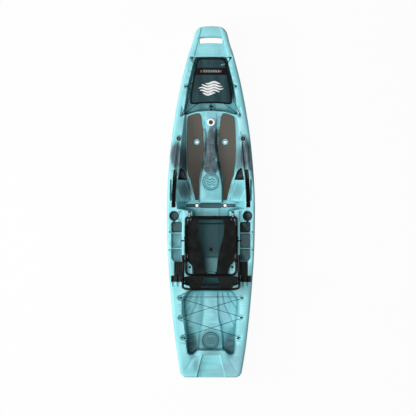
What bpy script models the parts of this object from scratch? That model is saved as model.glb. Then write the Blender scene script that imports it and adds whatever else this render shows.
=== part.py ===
"""Sit-on-top fishing kayak with a folding framed seat.

Metres. +Y points to the bow, +X to the right-hand side, +Z up. The hull stands on
z = 0 and the origin is at the middle of its length and beam. One object is made for
each piece that would come off on a bench.
"""
import math

import bmesh
import bpy
import numpy as np
from mathutils import Matrix, Vector

# Clearances
FIT = 0.0003
TOUCH = 0.0005

# Hull: overall sizes
HULL_LENGTH = 3.51
HULL_BEAM = 0.88
DECK_HEIGHT = 0.31
BOW_SHEER = 0.045
STERN_DROP = 0.01
BOW_ROCKER = 0.23
STERN_ROCKER = 0.10
NOSE_CORNER = 0.06
TRANSOM_CORNER = 0.055
END_EDGE = 0.02
GUNWALE_RADIUS = 0.018
KEEL_HALF_WIDTH = 0.05
CHANNEL_DEPTH = 0.028
CHANNEL_INNER = 0.10
CHANNEL_OUTER = 0.16
SPONSON_INNER = 0.215
SPONSON_OUTER = 0.29

# Table of offsets. First number: place from stern (-1) to bow (1).
BEAM_SHAPE = (
    (-1.0, 0.678), (-0.9, 0.746), (-0.8, 0.805), (-0.58, 0.898), (-0.31, 0.977),
    (-0.07, 1.0), (0.08, 0.989), (0.33, 0.909), (0.49, 0.818), (0.67, 0.682),
    (0.81, 0.542), (0.9, 0.441), (1.0, 0.334),
)
FULLNESS_SHAPE = (
    (-1.0, 0.80), (-0.55, 1.0), (0.1, 1.0), (0.6, 0.75), (0.8, 0.72), (0.92, 0.93), (1.0, 1.0),
)

# Bow: centre panel, handle slot and well
PANEL_DEPTH = 0.008
PANEL_NOSE_WIDTH = 0.18
PANEL_WELL_WIDTH = 0.344
SLOT_SETBACK = 0.104
SLOT_LENGTH = 0.065
SLOT_WIDTH = 0.226
SLOT_RADIUS = 0.01
BOW_WELL_SETBACK = 0.303
BOW_WELL_AFT = 0.917
BOW_WELL_FRONT_WIDTH = 0.32
BOW_WELL_AFT_WIDTH = 0.55
BOW_WELL_FLOOR = 0.165
WELL_DRAFT = 0.018
ARCH_SWEEP = 0.05

# Foot platform and cockpit
FLOOR_HEIGHT = 0.115
FLOOR_STEP = 0.035
FLOOR_STEP_PLACE = -0.542
FOOTWELL_AFT = -0.064
SEAT_WELL_WIDTH = 0.38
SEAT_WELL_AFT = -0.80
PANEL_RISE = 0.006
CROSS_CHANNEL_WIDTH = 0.50
CROSS_CHANNEL_LENGTH = 0.05
CROSS_CHANNEL_DEPTH = 0.012
CROSS_CHANNEL_PLACE = -0.034
SCUPPER_DIAMETER = 0.029
SCUPPER_BOSS = 0.058
FRONT_SCUPPER_PLACE = (0.142, 0.604)
CHANNEL_SCUPPER_X = 0.142

# Pads
PAD_THICKNESS = 0.007

# Gunwale fittings
MOUNT_INSET = 0.072
MOUNT_PLACE = 0.635
MOUNT_BOSS = 0.062
MOUNT_BOSS_RISE = 0.005
CUP_DIAMETER = 0.036
CUP_WALL = 0.0045
CUP_DEPTH = 0.024
INSERT_DIAMETER = 0.014
INSERT_HEIGHT = 0.009
INSERT_BORE = 0.0065
CENTER_MOUNT_PLACE = 0.799
CENTER_BOSS = 0.088
RING_DIAMETER = 0.078
RING_BORE = 0.041
RING_HEIGHT = 0.006
RIDGE_INSET = 0.068
RIDGE_WIDTH = 0.078
RIDGE_HEIGHT = 0.03
RIDGE_AFT = 0.335
RIDGE_LENGTH = 0.28
TUNNEL_DIAMETER = 0.03
TUNNEL_DEPTH = 0.22
TROUGH_INSET = 0.0665
TROUGH_WIDTH = 0.03
TROUGH_WALL = 0.003
TROUGH_FRONT = 0.311
TROUGH_LENGTH = 0.36
TROUGH_RAMP = 0.13
TROUGH_DEPTH = 0.04
TROUGH_MOUTH_DEPTH = 0.012
SLIT_INSET = 0.037
SLIT_WIDTH = 0.008
SLIT_LENGTH = 0.20
SLIT_DEPTH = 0.018
SLIT_PLACE = 0.12
POCKET_FLOOR = 0.13
# Corners of a rod tip pocket on the right-hand side: x, y, radius.
TIP_POCKET = ((0.305, 0.345, 0.006), (0.330, 0.226, 0.0), (0.236, 0.226, 0.0), (0.268, 0.31, 0.02))

# Cup holders and tackle trays
CUP_HOLDER_DIAMETER = 0.091
CUP_HOLDER_DEPTH = 0.075
CUP_HOLDER_INSET = 0.074
CUP_HOLDER_PLACE = -0.138
CUP_NECK_WIDTH = 0.02
TRAY_INSET = 0.044
TRAY_WIDTH = 0.106
TRAY_FRONT = -0.199
TRAY_LENGTH = 0.39
TRAY_DEPTH = 0.048
TRAY_FRONT_DEPTH = 0.068
TRAY_RIB = 0.008
TRAY_RIB_DROP = 0.024
TRAY_RADIUS = 0.014
ROD_PAD_WIDTH = 0.09
ROD_PAD_LENGTH = 0.132
ROD_PAD_FRONT = -0.596
ROD_PAD_GAP = 0.0255
ROD_PAD_THICKNESS = 0.009
ROD_PAD_SEAT = 0.007
REST_FRONT = -0.735
REST_LENGTH = 0.062
REST_INNER = 0.295
REST_WIDTH = 0.106
REST_HEIGHT = 0.028
CRADLE_DIAMETER = 0.036
CRADLE_SPACING = 0.05
SCALLOP_LENGTH = 0.045

# Stern tank well and channel
TANK_FRONT = -0.862
TANK_AFT = -1.484
POCKET_AFT_LENGTH = 0.045
TANK_FLOOR = 0.165
TANK_POCKET_FLOOR = 0.105
CHANNEL_AFT_WIDTH = 0.29
CHANNEL_FRONT_WIDTH = 0.174
CHANNEL_RUN = 0.231
CHANNEL_DROP = 0.02
CHANNEL_FRONT_DROP = 0.008
DISC_DIAMETER = 0.18
DISC_RING = 0.006
DISC_DEPTH = 0.0025
DISC_PLACES = (0.204, -1.384)

# Shock cords and hooks
CORD_DIAMETER = 0.005
HOOK_WIDTH = 0.010
HOOK_BASE = 0.003
HOOK_NECK = 0.006
HOOK_SEAT_DROP = 0.022
BOW_HOOK_SEAT_DROP = 0.012
HOOK_SEAT_RADIUS = 0.018
HOOK_SEAT_BACK = 0.008
HOOK_SEAT_REACH = 0.06
HOOK_SEAT_FLARE = 0.034
BOW_HOOKS = (("front", 0.186, 1.436, 0.56), ("mid", 0.2395, 1.156, 0.0), ("rear", 0.283, 0.876, -1.3))
STERN_HOOKS = (("front", 0.3, -0.957, 0.0), ("mid", 0.297, -1.156, 0.0), ("rear", 0.27, -1.355, 0.0))
CROSSING_LIFT = 0.004

# Bow cover and cord lock
COVER_THICKNESS = 0.003
COVER_CROWN = 0.008
COVER_DROP = 0.004
LOCK_PLACE = 0.955
LOCK_DIAMETER = 0.02
LOCK_WALL = 0.003
LOCK_LENGTH = 0.0305
PLUNGER_DIAMETER = 0.0132
PLUNGER_HEAD = 0.018
PLUNGER_HEAD_LENGTH = 0.0037
PLUNGER_TRAVEL = 0.005
STRAND_SPACING = 0.006

# Seat
TUBE_DIAMETER = 0.025
SEAT_WIDTH = 0.502
SEAT_FRONT = -0.152
SEAT_DEPTH = 0.577
SEAT_FRONT_CORNER = 0.022
SEAT_REAR_CORNER = 0.05
SEAT_RISE = 0.0205
BACK_PIVOT_PLACE = -0.542
BACK_ELBOW_PLACE = -0.725
BACK_ELBOW_RISE = 0.03
BACK_HEIGHT = 0.38
BACK_LEAN = 20.0
BACK_CORNER = 0.065
BACK_TAIL = 0.012
BACK_SIDE_GAP = 0.003
BOLT_DIAMETER = 0.008
BOLT_HEAD = 0.016
BOLT_HEAD_HEIGHT = 0.004
SLING_THICKNESS = 0.004
SLING_SAG = 0.02
BRACKET_INSET = 0.034
BRACKET_WIDTH = 0.024
BRACKET_LENGTH = 0.08
BRACKET_WALL = 0.0065
FOOT_PLACES = (("front", -0.36, 0.038), ("rear", -0.64, 0.022))
FOOT_LENGTH = 0.03
STRAP_WIDTH = 0.02
STRAP_THICKNESS = 0.0018
STRAP_HEIGHT = 0.46
STRAP_FOOT_PLACE = -0.392

# Floor plug, scupper plugs and drain
FLOOR_PLUG_PLACE = -0.478
FLOOR_RING_DIAMETER = 0.05
FLOOR_RING_BORE = 0.032
FLOOR_RING_HEIGHT = 0.005
DISH_PLACE = (0.212, -0.65)
DISH_LENGTH = 0.09
DISH_WIDTH = 0.056
DISH_DEPTH = 0.008
PLUG_DIAMETER = 0.022
PLUG_HEAD = 0.028
PLUG_DEPTH = 0.02
DRAIN_HEIGHT = 0.2
DRAIN_FLANGE = 0.036
DRAIN_BORE = 0.018
DRAIN_SEAT = 0.012
DRAIN_DEPTH = 0.02

# Side carry handles
HANDLE_PLACE = -0.388
SADDLE_SPACING = 0.18
SADDLE_LENGTH = 0.02
SADDLE_DEPTH = 0.018
SADDLE_HEIGHT = 0.026
HANDLE_RECESS_DEPTH = 0.022
HANDLE_RECESS_LENGTH = 0.27
HANDLE_RECESS_LOW = 0.185
HANDLE_RECESS_HIGH = 0.282
HANDLE_PIVOT_HEIGHT = 0.262
HANDLE_ARM = 0.045
HANDLE_WIRE = 0.007
HANDLE_GRIP = 0.021
HANDLE_GRIP_LENGTH = 0.1

BOW = HULL_LENGTH / 2
STERN = -HULL_LENGTH / 2
HALF_BEAM = HULL_BEAM / 2


def clear_scene():
    for thing in list(bpy.data.objects):
        bpy.data.objects.remove(thing, do_unlink=True)


def linear(channel):
    """An sRGB channel, 0 to 255, as a linear value."""
    share = channel / 255
    if share <= 0.04045:
        return share / 12.92
    return ((share + 0.055) / 1.055) ** 2.4


def material(name, colour, roughness, metallic=0.0):
    made = bpy.data.materials.new(name)
    made.use_nodes = True
    shader = made.node_tree.nodes["Principled BSDF"]
    shader.inputs["Base Color"].default_value = (*(linear(c) for c in colour), 1.0)
    shader.inputs["Roughness"].default_value = roughness
    shader.inputs["Metallic"].default_value = metallic
    made.diffuse_color = shader.inputs["Base Color"].default_value
    return made


def link(name, mesh, finish=None):
    thing = bpy.data.objects.new(name, mesh)
    bpy.context.scene.collection.objects.link(thing)
    if finish is not None:
        mesh.materials.append(finish)
        mesh.shade_smooth()
        mesh.set_sharp_from_angle(angle=math.radians(32))
    return thing


def tool(name, mesh):
    """A cutter or an added shape: it is drawn as wire and never rendered."""
    thing = link(name, mesh)
    thing.hide_render = True
    thing.display_type = "WIRE"
    return thing


def mesh_from(name, verts, faces):
    """A mesh with all its faces turned outwards."""
    mesh = bpy.data.meshes.new(name)
    mesh.from_pydata([tuple(v) for v in verts], [], faces)
    work = bmesh.new()
    work.from_mesh(mesh)
    bmesh.ops.connect_verts_nonplanar(work, angle_limit=0.0002, faces=work.faces)
    bmesh.ops.recalc_face_normals(work, faces=work.faces)
    work.to_mesh(mesh)
    work.free()
    return mesh


def loft(name, rings, closed=False):
    """Skin over rings with equal counts of points. The ends are capped, or joined if closed."""
    count = len(rings[0])
    verts = [v for ring in rings for v in ring]
    faces = []
    spans = len(rings) if closed else len(rings) - 1
    for row in range(spans):
        near = row * count
        far = (row + 1) % len(rings) * count
        for i in range(count):
            j = (i + 1) % count
            faces.append((near + i, near + j, far + j, far + i))
    if not closed:
        faces.append(tuple(range(count)))
        faces.append(tuple(range(len(verts) - count, len(verts))))
    return mesh_from(name, verts, faces)


def smooth(table, place):
    """Cubic through the table's points, with slopes from their neighbours."""
    at = [row[0] for row in table]
    value = [row[1] for row in table]
    place = min(max(place, at[0]), at[-1])
    k = max(i for i in range(len(at) - 1) if at[i] <= place + 1e-12)

    def slope(i):
        low = max(i - 1, 0)
        high = min(i + 1, len(at) - 1)
        return (value[high] - value[low]) / (at[high] - at[low])

    span = at[k + 1] - at[k]
    s = (place - at[k]) / span
    return (
        (2 * s**3 - 3 * s**2 + 1) * value[k]
        + (s**3 - 2 * s**2 + s) * span * slope(k)
        + (3 * s**2 - 2 * s**3) * value[k + 1]
        + (s**3 - s**2) * span * slope(k + 1)
    )


def even(table, place):
    """Straight lines between the table's points, as a loft makes between its stations."""
    return float(np.interp(place, [row[0] for row in table], [row[1] for row in table]))


def rounded(corners, steps=3):
    """Outline whose corners (x, y, radius) are arcs."""
    outline = []
    count = len(corners)
    for i, (x, y, radius) in enumerate(corners):
        here = Vector((x, y))
        before = (Vector(corners[i - 1][:2]) - here).normalized()
        after = (Vector(corners[(i + 1) % count][:2]) - here).normalized()
        if radius <= 0:
            outline.append((x, y))
            continue
        half = before.angle(after) / 2
        reach = radius / math.tan(half)
        middle = here + (before + after).normalized() * (radius / math.sin(half))
        start = here + before * reach - middle
        end = here + after * reach - middle
        turn = start.angle_signed(end)
        for k in range(steps + 1):
            point = start.copy()
            point.rotate(Matrix.Rotation(-turn * k / steps, 2))
            outline.append(tuple(middle + point))
    return outline


def inset(outline, distance):
    """Outline moved inwards by a distance, corners mitred."""
    area = sum(
        outline[i - 1][0] * outline[i][1] - outline[i][0] * outline[i - 1][1]
        for i in range(len(outline))
    )
    side = 1 if area > 0 else -1
    moved = []
    for i, point in enumerate(outline):
        here = Vector(point)
        before = (here - Vector(outline[i - 1])).normalized()
        after = (Vector(outline[(i + 1) % len(outline)]) - here).normalized()
        normal = Vector((-before.y - after.y, before.x + after.x)) * side
        normal.normalize()
        edge = Vector((-before.y, before.x)) * side
        moved.append(tuple(here + normal * (distance / max(normal.dot(edge), 0.4))))
    return moved


def height(level, x, y):
    return level(x, y) if callable(level) else level


def block(name, outline, low, high, draft=0.0):
    """Upright block over an outline. low and high are heights or functions of x and y."""
    foot = inset(outline, draft) if draft else outline
    bottom = [(x, y, height(low, x, y)) for x, y in foot]
    top = [(x, y, height(high, x, y)) for x, y in outline]
    return loft(name, [bottom, top])


def circle(radius, sides, center=(0.0, 0.0), turn=0.0):
    return [
        (
            center[0] + radius * math.cos(turn + 2 * math.pi * i / sides),
            center[1] + radius * math.sin(turn + 2 * math.pi * i / sides),
        )
        for i in range(sides)
    ]


def drum(name, radius, start, end, sides=12, top_radius=None):
    """Round bar or cone between two points."""
    start = Vector(start)
    end = Vector(end)
    turn = (end - start).to_track_quat("Z", "Y")
    rings = []
    for place, size in ((start, radius), (end, top_radius or radius)):
        rings.append([place + turn @ Vector((x, y, 0)) for x, y in circle(size, sides)])
    return loft(name, rings)


def turned(name, profile, place, axis=(0, 0, 1), sides=16):
    """Turned profile of (radius, height) points, run round an axis through place.

    A profile that starts and ends on the axis is left open there.
    """
    turn = Vector(axis).to_track_quat("Z", "Y")
    place = Vector(place)
    verts = []
    for i in range(sides):
        angle = 2 * math.pi * i / sides
        for radius, along in profile:
            spot = Vector((radius * math.cos(angle), radius * math.sin(angle), along))
            verts.append(place + turn @ spot)
    count = len(profile)
    solid = profile[0][0] == 0 and profile[-1][0] == 0
    faces = []
    for i in range(sides):
        j = (i + 1) % sides
        for k in range(count - 1 if solid else count):
            m = (k + 1) % count
            faces.append((i * count + k, j * count + k, j * count + m, i * count + m))
    mesh = mesh_from(name, verts, faces)
    work = bmesh.new()
    work.from_mesh(mesh)
    bmesh.ops.remove_doubles(work, verts=work.verts, dist=1e-6)
    bmesh.ops.dissolve_degenerate(work, edges=work.edges, dist=1e-7)
    bmesh.ops.recalc_face_normals(work, faces=work.faces)
    work.to_mesh(mesh)
    work.free()
    return mesh


def sweep(name, path, radius, sides=12, closed=False):
    """Round tube along a path, its rings carried without twist."""
    path = [Vector(p) for p in path]
    count = len(path)
    rings = []
    first = (path[1] - path[0]).normalized()
    side = first.orthogonal().normalized()
    for i, point in enumerate(path):
        if closed:
            along = (path[(i + 1) % count] - path[i - 1]).normalized()
        else:
            along = (path[min(i + 1, count - 1)] - path[max(i - 1, 0)]).normalized()
        side = (side - along * side.dot(along)).normalized()
        up = along.cross(side)
        rings.append(
            [point + side * x + up * y for x, y in circle(radius, sides, turn=math.pi / sides)]
        )
    return loft(name, rings, closed)


def bend(points, radius, steps=4):
    """Path through points with each inner corner turned on a radius."""
    points = [Vector(p) for p in points]
    path = [points[0]]
    for i in range(1, len(points) - 1):
        before = (points[i - 1] - points[i]).normalized()
        after = (points[i + 1] - points[i]).normalized()
        half = before.angle(after) / 2
        reach = radius / math.tan(half)
        middle = points[i] + (before + after).normalized() * (radius / math.sin(half))
        start = points[i] + before * reach - middle
        end = points[i] + after * reach - middle
        turn = start.angle(end)
        axis = start.cross(end).normalized()
        for k in range(steps + 1):
            path.append(middle + Matrix.Rotation(turn * k / steps, 3, axis) @ start)
    path.append(points[-1])
    return path


def change(thing, operation, tools):
    """Boolean of an object with several tools at once."""
    group = bpy.data.collections.new(f"{thing.name}_{operation.lower()}_{len(thing.modifiers)}")
    for item in tools:
        group.objects.link(item)
    step = thing.modifiers.new(f"{operation.lower()}_{len(thing.modifiers)}", "BOOLEAN")
    step.operation = operation
    step.operand_type = "COLLECTION"
    step.collection = group
    step.solver = "EXACT"


def hang(thing, place):
    """Puts a moving piece's origin on its joint's axis."""
    thing.data.transform(Matrix.Translation(-Vector(place)))
    thing.location = place
    return thing


def both(build):
    """Runs a builder for the right-hand side (1) and the left-hand side (-1)."""
    return [thing for side in (1, -1) for thing in build(side)]


def side_name(side):
    return "right" if side > 0 else "left"


# Hull surfaces

def share(y):
    return y / BOW


def half_beam(y):
    return HALF_BEAM * smooth(BEAM_SHAPE, share(y))


def deck(y):
    """Height of the gunwale deck: level amidships, rising to the bow."""
    t = share(y)
    bow = max(t - 0.1, 0.0) / 0.9
    stern = max(-t - 0.5, 0.0) / 0.5
    return DECK_HEIGHT + BOW_SHEER * bow**1.6 - STERN_DROP * stern**2


def keel(y):
    """Height of the keel: flat on the ground amidships, lifting at both ends."""
    t = share(y)
    bow = max(t - 0.5, 0.0) / 0.5
    stern = max(-t - 0.68, 0.0) / 0.32
    return BOW_ROCKER * bow**2 + STERN_ROCKER * stern**1.5


def corner_loss(distance, radius):
    """How far a round corner has drawn in at a distance from the end."""
    if distance >= radius:
        return 0.0
    return radius - math.sqrt(radius**2 - (radius - distance) ** 2)


def hull_section(y):
    """Ring of the hull at y, from the keel round the right-hand side and back."""
    to_bow = BOW - y
    to_stern = y - STERN
    beam = half_beam(y) - corner_loss(to_bow, NOSE_CORNER)
    beam -= corner_loss(to_stern, TRANSOM_CORNER)
    edge = corner_loss(to_bow, END_EDGE) + corner_loss(to_stern, END_EDGE)
    top = deck(y) - edge
    low = keel(y) + edge
    full = smooth(FULLNESS_SHAPE, share(y)) * beam / HALF_BEAM
    groove = CHANNEL_DEPTH * min(full * 1.2, 1.0)
    points = [
        (0.0, low),
        (KEEL_HALF_WIDTH * full, low),
        (CHANNEL_INNER * full, low + groove),
        (CHANNEL_OUTER * full, low + groove),
        (SPONSON_INNER * full, low),
    ]
    start = (SPONSON_OUTER * full, low)
    end = (beam, top - GUNWALE_RADIUS)
    lean = start[0] + (end[0] - start[0]) * min(0.25 + 0.6 * full, 0.85)
    for k in range(6):
        s = k / 5
        x = (1 - s) ** 2 * start[0] + 2 * s * (1 - s) * lean + s**2 * end[0]
        z = (1 - s) ** 2 * start[1] + 2 * s * (1 - s) * low + s**2 * end[1]
        points.append((x, z))
    for k in range(1, 4):
        angle = math.radians(30 * k)
        points.append(
            (
                beam - GUNWALE_RADIUS * (1 - math.cos(angle)),
                top - GUNWALE_RADIUS * (1 - math.sin(angle)),
            )
        )
    ring = [(x, y, z) for x, z in points]
    mirrored = [(-x, y, z) for x, z in reversed(points[1:])]
    return ring + mirrored


def hull_stations():
    ends = (0.0, 0.005, 0.02, NOSE_CORNER, 0.11, 0.19)
    near_bow = [BOW - d for d in ends]
    near_stern = [STERN + d for d in ends]
    inner = np.linspace(near_stern[-1], near_bow[-1], 27)[1:-1]
    return near_stern + list(inner) + near_bow[::-1]


ABOVE = DECK_HEIGHT + BOW_SHEER + 0.15

# Cockpit stations: y, rim, wall foot, floor height, spine half width, spine foot, spine height.
COCKPIT = (
    (0.93, 0.245, 0.235, 0.292, 0.05, 0.06, 0.2925),
    (0.86, 0.262, 0.250, 0.272, 0.05, 0.06, 0.2765),
    (0.80, 0.272, 0.250, 0.254, 0.048, 0.062, 0.275),
    (0.711, 0.285, 0.250, 0.228, 0.036, 0.056, 0.272),
    (0.604, 0.297, 0.251, 0.202, 0.036, 0.056, 0.256),
    (0.521, 0.305, 0.251, 0.183, 0.043, 0.062, 0.242),
    (0.441, 0.308, 0.250, 0.168, 0.055, 0.072, 0.227),
    (0.351, 0.312, 0.247, 0.151, 0.073, 0.089, 0.205),
    (0.271, 0.316, 0.238, 0.138, 0.088, 0.104, 0.180),
    (0.231, 0.318, 0.232, 0.132, 0.096, 0.110, 0.172),
    (0.222, 0.343, 0.226, 0.131, 0.097, 0.111, 0.170),
    (0.151, 0.345, 0.212, 0.123, 0.105, 0.117, 0.158),
    (0.021, 0.347, 0.195, FLOOR_HEIGHT, 0.106, 0.117, 0.148),
    (-0.004, 0.347, 0.255, FLOOR_HEIGHT, 0.106, 0.115, 0.145),
    (-0.008, 0.347, 0.258, FLOOR_HEIGHT, 0.106, 0.115, FLOOR_HEIGHT + PANEL_RISE),
    (FOOTWELL_AFT, 0.340, 0.258, FLOOR_HEIGHT, 0.075, 0.085, FLOOR_HEIGHT + PANEL_RISE),
    (FOOTWELL_AFT - 0.028, SEAT_WELL_WIDTH / 2, SEAT_WELL_WIDTH / 2 - 0.012, FLOOR_HEIGHT,
     0.075, 0.085, FLOOR_HEIGHT + PANEL_RISE),
    (FLOOR_STEP_PLACE, SEAT_WELL_WIDTH / 2, SEAT_WELL_WIDTH / 2 - 0.012, FLOOR_HEIGHT,
     0.075, 0.085, FLOOR_HEIGHT + PANEL_RISE),
    (FLOOR_STEP_PLACE - 0.02, SEAT_WELL_WIDTH / 2, SEAT_WELL_WIDTH / 2 - 0.012,
     FLOOR_HEIGHT + FLOOR_STEP, 0.065, 0.075, FLOOR_HEIGHT + FLOOR_STEP + PANEL_RISE),
    (SEAT_WELL_AFT + 0.03, SEAT_WELL_WIDTH / 2 - 0.01, SEAT_WELL_WIDTH / 2 - 0.022,
     FLOOR_HEIGHT + FLOOR_STEP, 0.065, 0.075, FLOOR_HEIGHT + FLOOR_STEP + PANEL_RISE),
    (SEAT_WELL_AFT, SEAT_WELL_WIDTH / 2 - 0.02, SEAT_WELL_WIDTH / 2 - 0.05,
     FLOOR_HEIGHT + FLOOR_STEP + 0.06, 0.065, 0.075, FLOOR_HEIGHT + FLOOR_STEP + 0.066),
)


def cockpit_column(column):
    return sorted((row[0], row[column]) for row in COCKPIT)


def floor_at(y):
    return even(cockpit_column(3), y)


def spine_at(y):
    return even(cockpit_column(6), y)


# Tank well stations: y, rim, wall foot, side floor height, centre half width, centre foot,
# centre height.
TANK = (
    (TANK_FRONT, 0.20, 0.17, 0.26, 0.05, 0.055, 0.26),
    (TANK_FRONT - 0.035, 0.245, 0.21, TANK_FLOOR + 0.012, 0.058, 0.064, TANK_FLOOR + 0.016),
    (-0.937, 0.275, 0.24, TANK_FLOOR + 0.006, 0.060, 0.067, TANK_FLOOR + 0.012),
    (-0.98, 0.292, 0.265, TANK_FLOOR, 0.062, 0.069, TANK_FLOOR + 0.008),
    (-1.109, 0.292, 0.262, TANK_FLOOR - 0.012, 0.070, 0.078, TANK_FLOOR + 0.004),
    (-1.194, 0.274, 0.248, TANK_FLOOR - 0.022, 0.080, 0.090, TANK_FLOOR + 0.002),
    (-1.27, 0.264, 0.240, TANK_FLOOR - 0.033, 0.094, 0.108, TANK_FLOOR),
    (-1.359, 0.254, 0.233, TANK_POCKET_FLOOR + 0.008, 0.108, 0.126, TANK_FLOOR - 0.002),
    (TANK_AFT + 0.012, 0.240, 0.222, TANK_POCKET_FLOOR, 0.112, 0.134, TANK_FLOOR - 0.004),
    (TANK_AFT, 0.238, 0.221, TANK_POCKET_FLOOR, 0.128, 0.146, ABOVE - 0.05),
    (TANK_AFT - POCKET_AFT_LENGTH, 0.234, 0.218, TANK_POCKET_FLOOR + 0.004, 0.165, 0.178,
     ABOVE - 0.05),
)


def air(name, stations):
    """Cutter of an open well: the space above its floor, its centre rise and its walls."""
    rings = []
    for y, rim, foot, floor, middle, middle_foot, rise in stations:
        lean = (rim - foot) / (deck(y) - floor)
        half = [
            (middle, rise),
            (middle_foot, floor),
            (foot, floor),
            (foot + lean * (ABOVE - floor), ABOVE),
        ]
        ring = [(x, y, z) for x, z in half]
        ring += [(-x, y, z) for x, z in reversed(half)]
        rings.append(ring)
    return tool(name, loft(name, rings))


def side_block(name, side, corners, low, high, draft=0.0, steps=3):
    """Block on one side of the boat. Corners are given for the right-hand side."""
    points = [(side * x, y, r) for x, y, r in corners]
    return tool(name, block(name, rounded(points, steps), low, high, draft))


def box_corners(inner, outer, aft, front, radius):
    return [(inner, aft, radius), (outer, aft, radius), (outer, front, radius), (inner, front, radius)]


def bow_cutters():
    nose = BOW + 0.03
    well_front = BOW - BOW_WELL_SETBACK
    panel = [
        (PANEL_NOSE_WIDTH / 2, nose),
        (PANEL_WELL_WIDTH / 2, well_front + 0.003),
        (-PANEL_WELL_WIDTH / 2, well_front + 0.003),
        (-PANEL_NOSE_WIDTH / 2, nose),
    ]
    slot_front = BOW - SLOT_SETBACK
    slot = [
        (SLOT_WIDTH / 2, slot_front, SLOT_RADIUS),
        (SLOT_WIDTH / 2, slot_front - SLOT_LENGTH, SLOT_RADIUS),
        (-SLOT_WIDTH / 2, slot_front - SLOT_LENGTH, SLOT_RADIUS),
        (-SLOT_WIDTH / 2, slot_front, SLOT_RADIUS),
    ]
    front = BOW_WELL_FRONT_WIDTH / 2
    aft = BOW_WELL_AFT_WIDTH / 2
    side_place = BOW_WELL_AFT - ARCH_SWEEP
    well = [
        (front, well_front, 0.03),
        (front + 0.012, well_front - 0.05, 0.0),
        ((front + aft) / 2 + 0.01, (well_front + BOW_WELL_AFT) / 2, 0.0),
        (aft, side_place + 0.02, 0.0),
        (aft - 0.01, side_place, 0.0),
        (aft / 2, BOW_WELL_AFT - ARCH_SWEEP / 4, 0.0),
        (0.0, BOW_WELL_AFT, 0.0),
    ]
    well += [(-x, y, r) for x, y, r in reversed(well[:-1])]
    slope = WELL_DRAFT / (deck(BOW_WELL_AFT) - BOW_WELL_FLOOR)
    spread = slope * (ABOVE - deck(BOW_WELL_AFT))
    mouth = inset(rounded(well), -spread)
    return [
        tool("bow_panel_cut", block("bow_panel_cut", panel, lambda x, y: deck(y) - PANEL_DEPTH, ABOVE)),
        tool("handle_slot_cut", block("handle_slot_cut", rounded(slot), -0.1, ABOVE)),
        tool(
            "bow_well_cut",
            block("bow_well_cut", mouth, BOW_WELL_FLOOR, ABOVE, WELL_DRAFT + spread),
        ),
    ]


def gunwale_path(inset_distance, front, length, steps):
    """Points that run beside the gunwale edge, from front to aft, on the right-hand side."""
    places = [front - length * i / steps for i in range(steps + 1)]
    return [(half_beam(y) - inset_distance, y) for y in places]


def trough_drop(y, extra=0.0):
    """Depth of a rod trough below the deck: a ramp at its front, then level."""
    run = min((TROUGH_FRONT - y) / TROUGH_RAMP, 1.0)
    ease = run * run * (3 - 2 * run)
    return TROUGH_MOUTH_DEPTH + (TROUGH_DEPTH - TROUGH_MOUTH_DEPTH) * ease + extra


TROUGH_STATIONS = 8


def trough_cut(side):
    rings = []
    half = TROUGH_WIDTH / 2 + FIT
    path = gunwale_path(TROUGH_INSET, TROUGH_FRONT, TROUGH_LENGTH, TROUGH_STATIONS)
    for i, (x, y) in enumerate(path):
        reach = {0: FIT, len(path) - 1: -FIT}.get(i, 0.0)
        low = deck(y) - trough_drop(y, FIT)
        ring = [(x - half, low), (x + half, low), (x + half, ABOVE), (x - half, ABOVE)]
        rings.append([(side * a, y + reach, z) for a, z in ring])
    name = f"trough_cut_{side_name(side)}"
    return tool(name, loft(name, rings))


def tunnel_cut(side):
    """Blind round tunnel for a rod tip, running forward into the ridge."""
    front = TROUGH_FRONT + TUNNEL_DEPTH
    start = TROUGH_FRONT - 0.01
    drop = TUNNEL_DIAMETER / 2 - TROUGH_MOUTH_DEPTH + TROUGH_WALL
    name = f"tunnel_cut_{side_name(side)}"
    return tool(
        name,
        drum(
            name,
            TUNNEL_DIAMETER / 2,
            (side * (half_beam(start) - TROUGH_INSET), start, deck(start) + drop),
            (side * (half_beam(front) - TROUGH_INSET), front, deck(front) + drop),
        ),
    )


def rod_pad_inner():
    """A rod pad's inner edge, clear of the seat's side tube."""
    return SEAT_WIDTH / 2 + ROD_PAD_GAP


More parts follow.
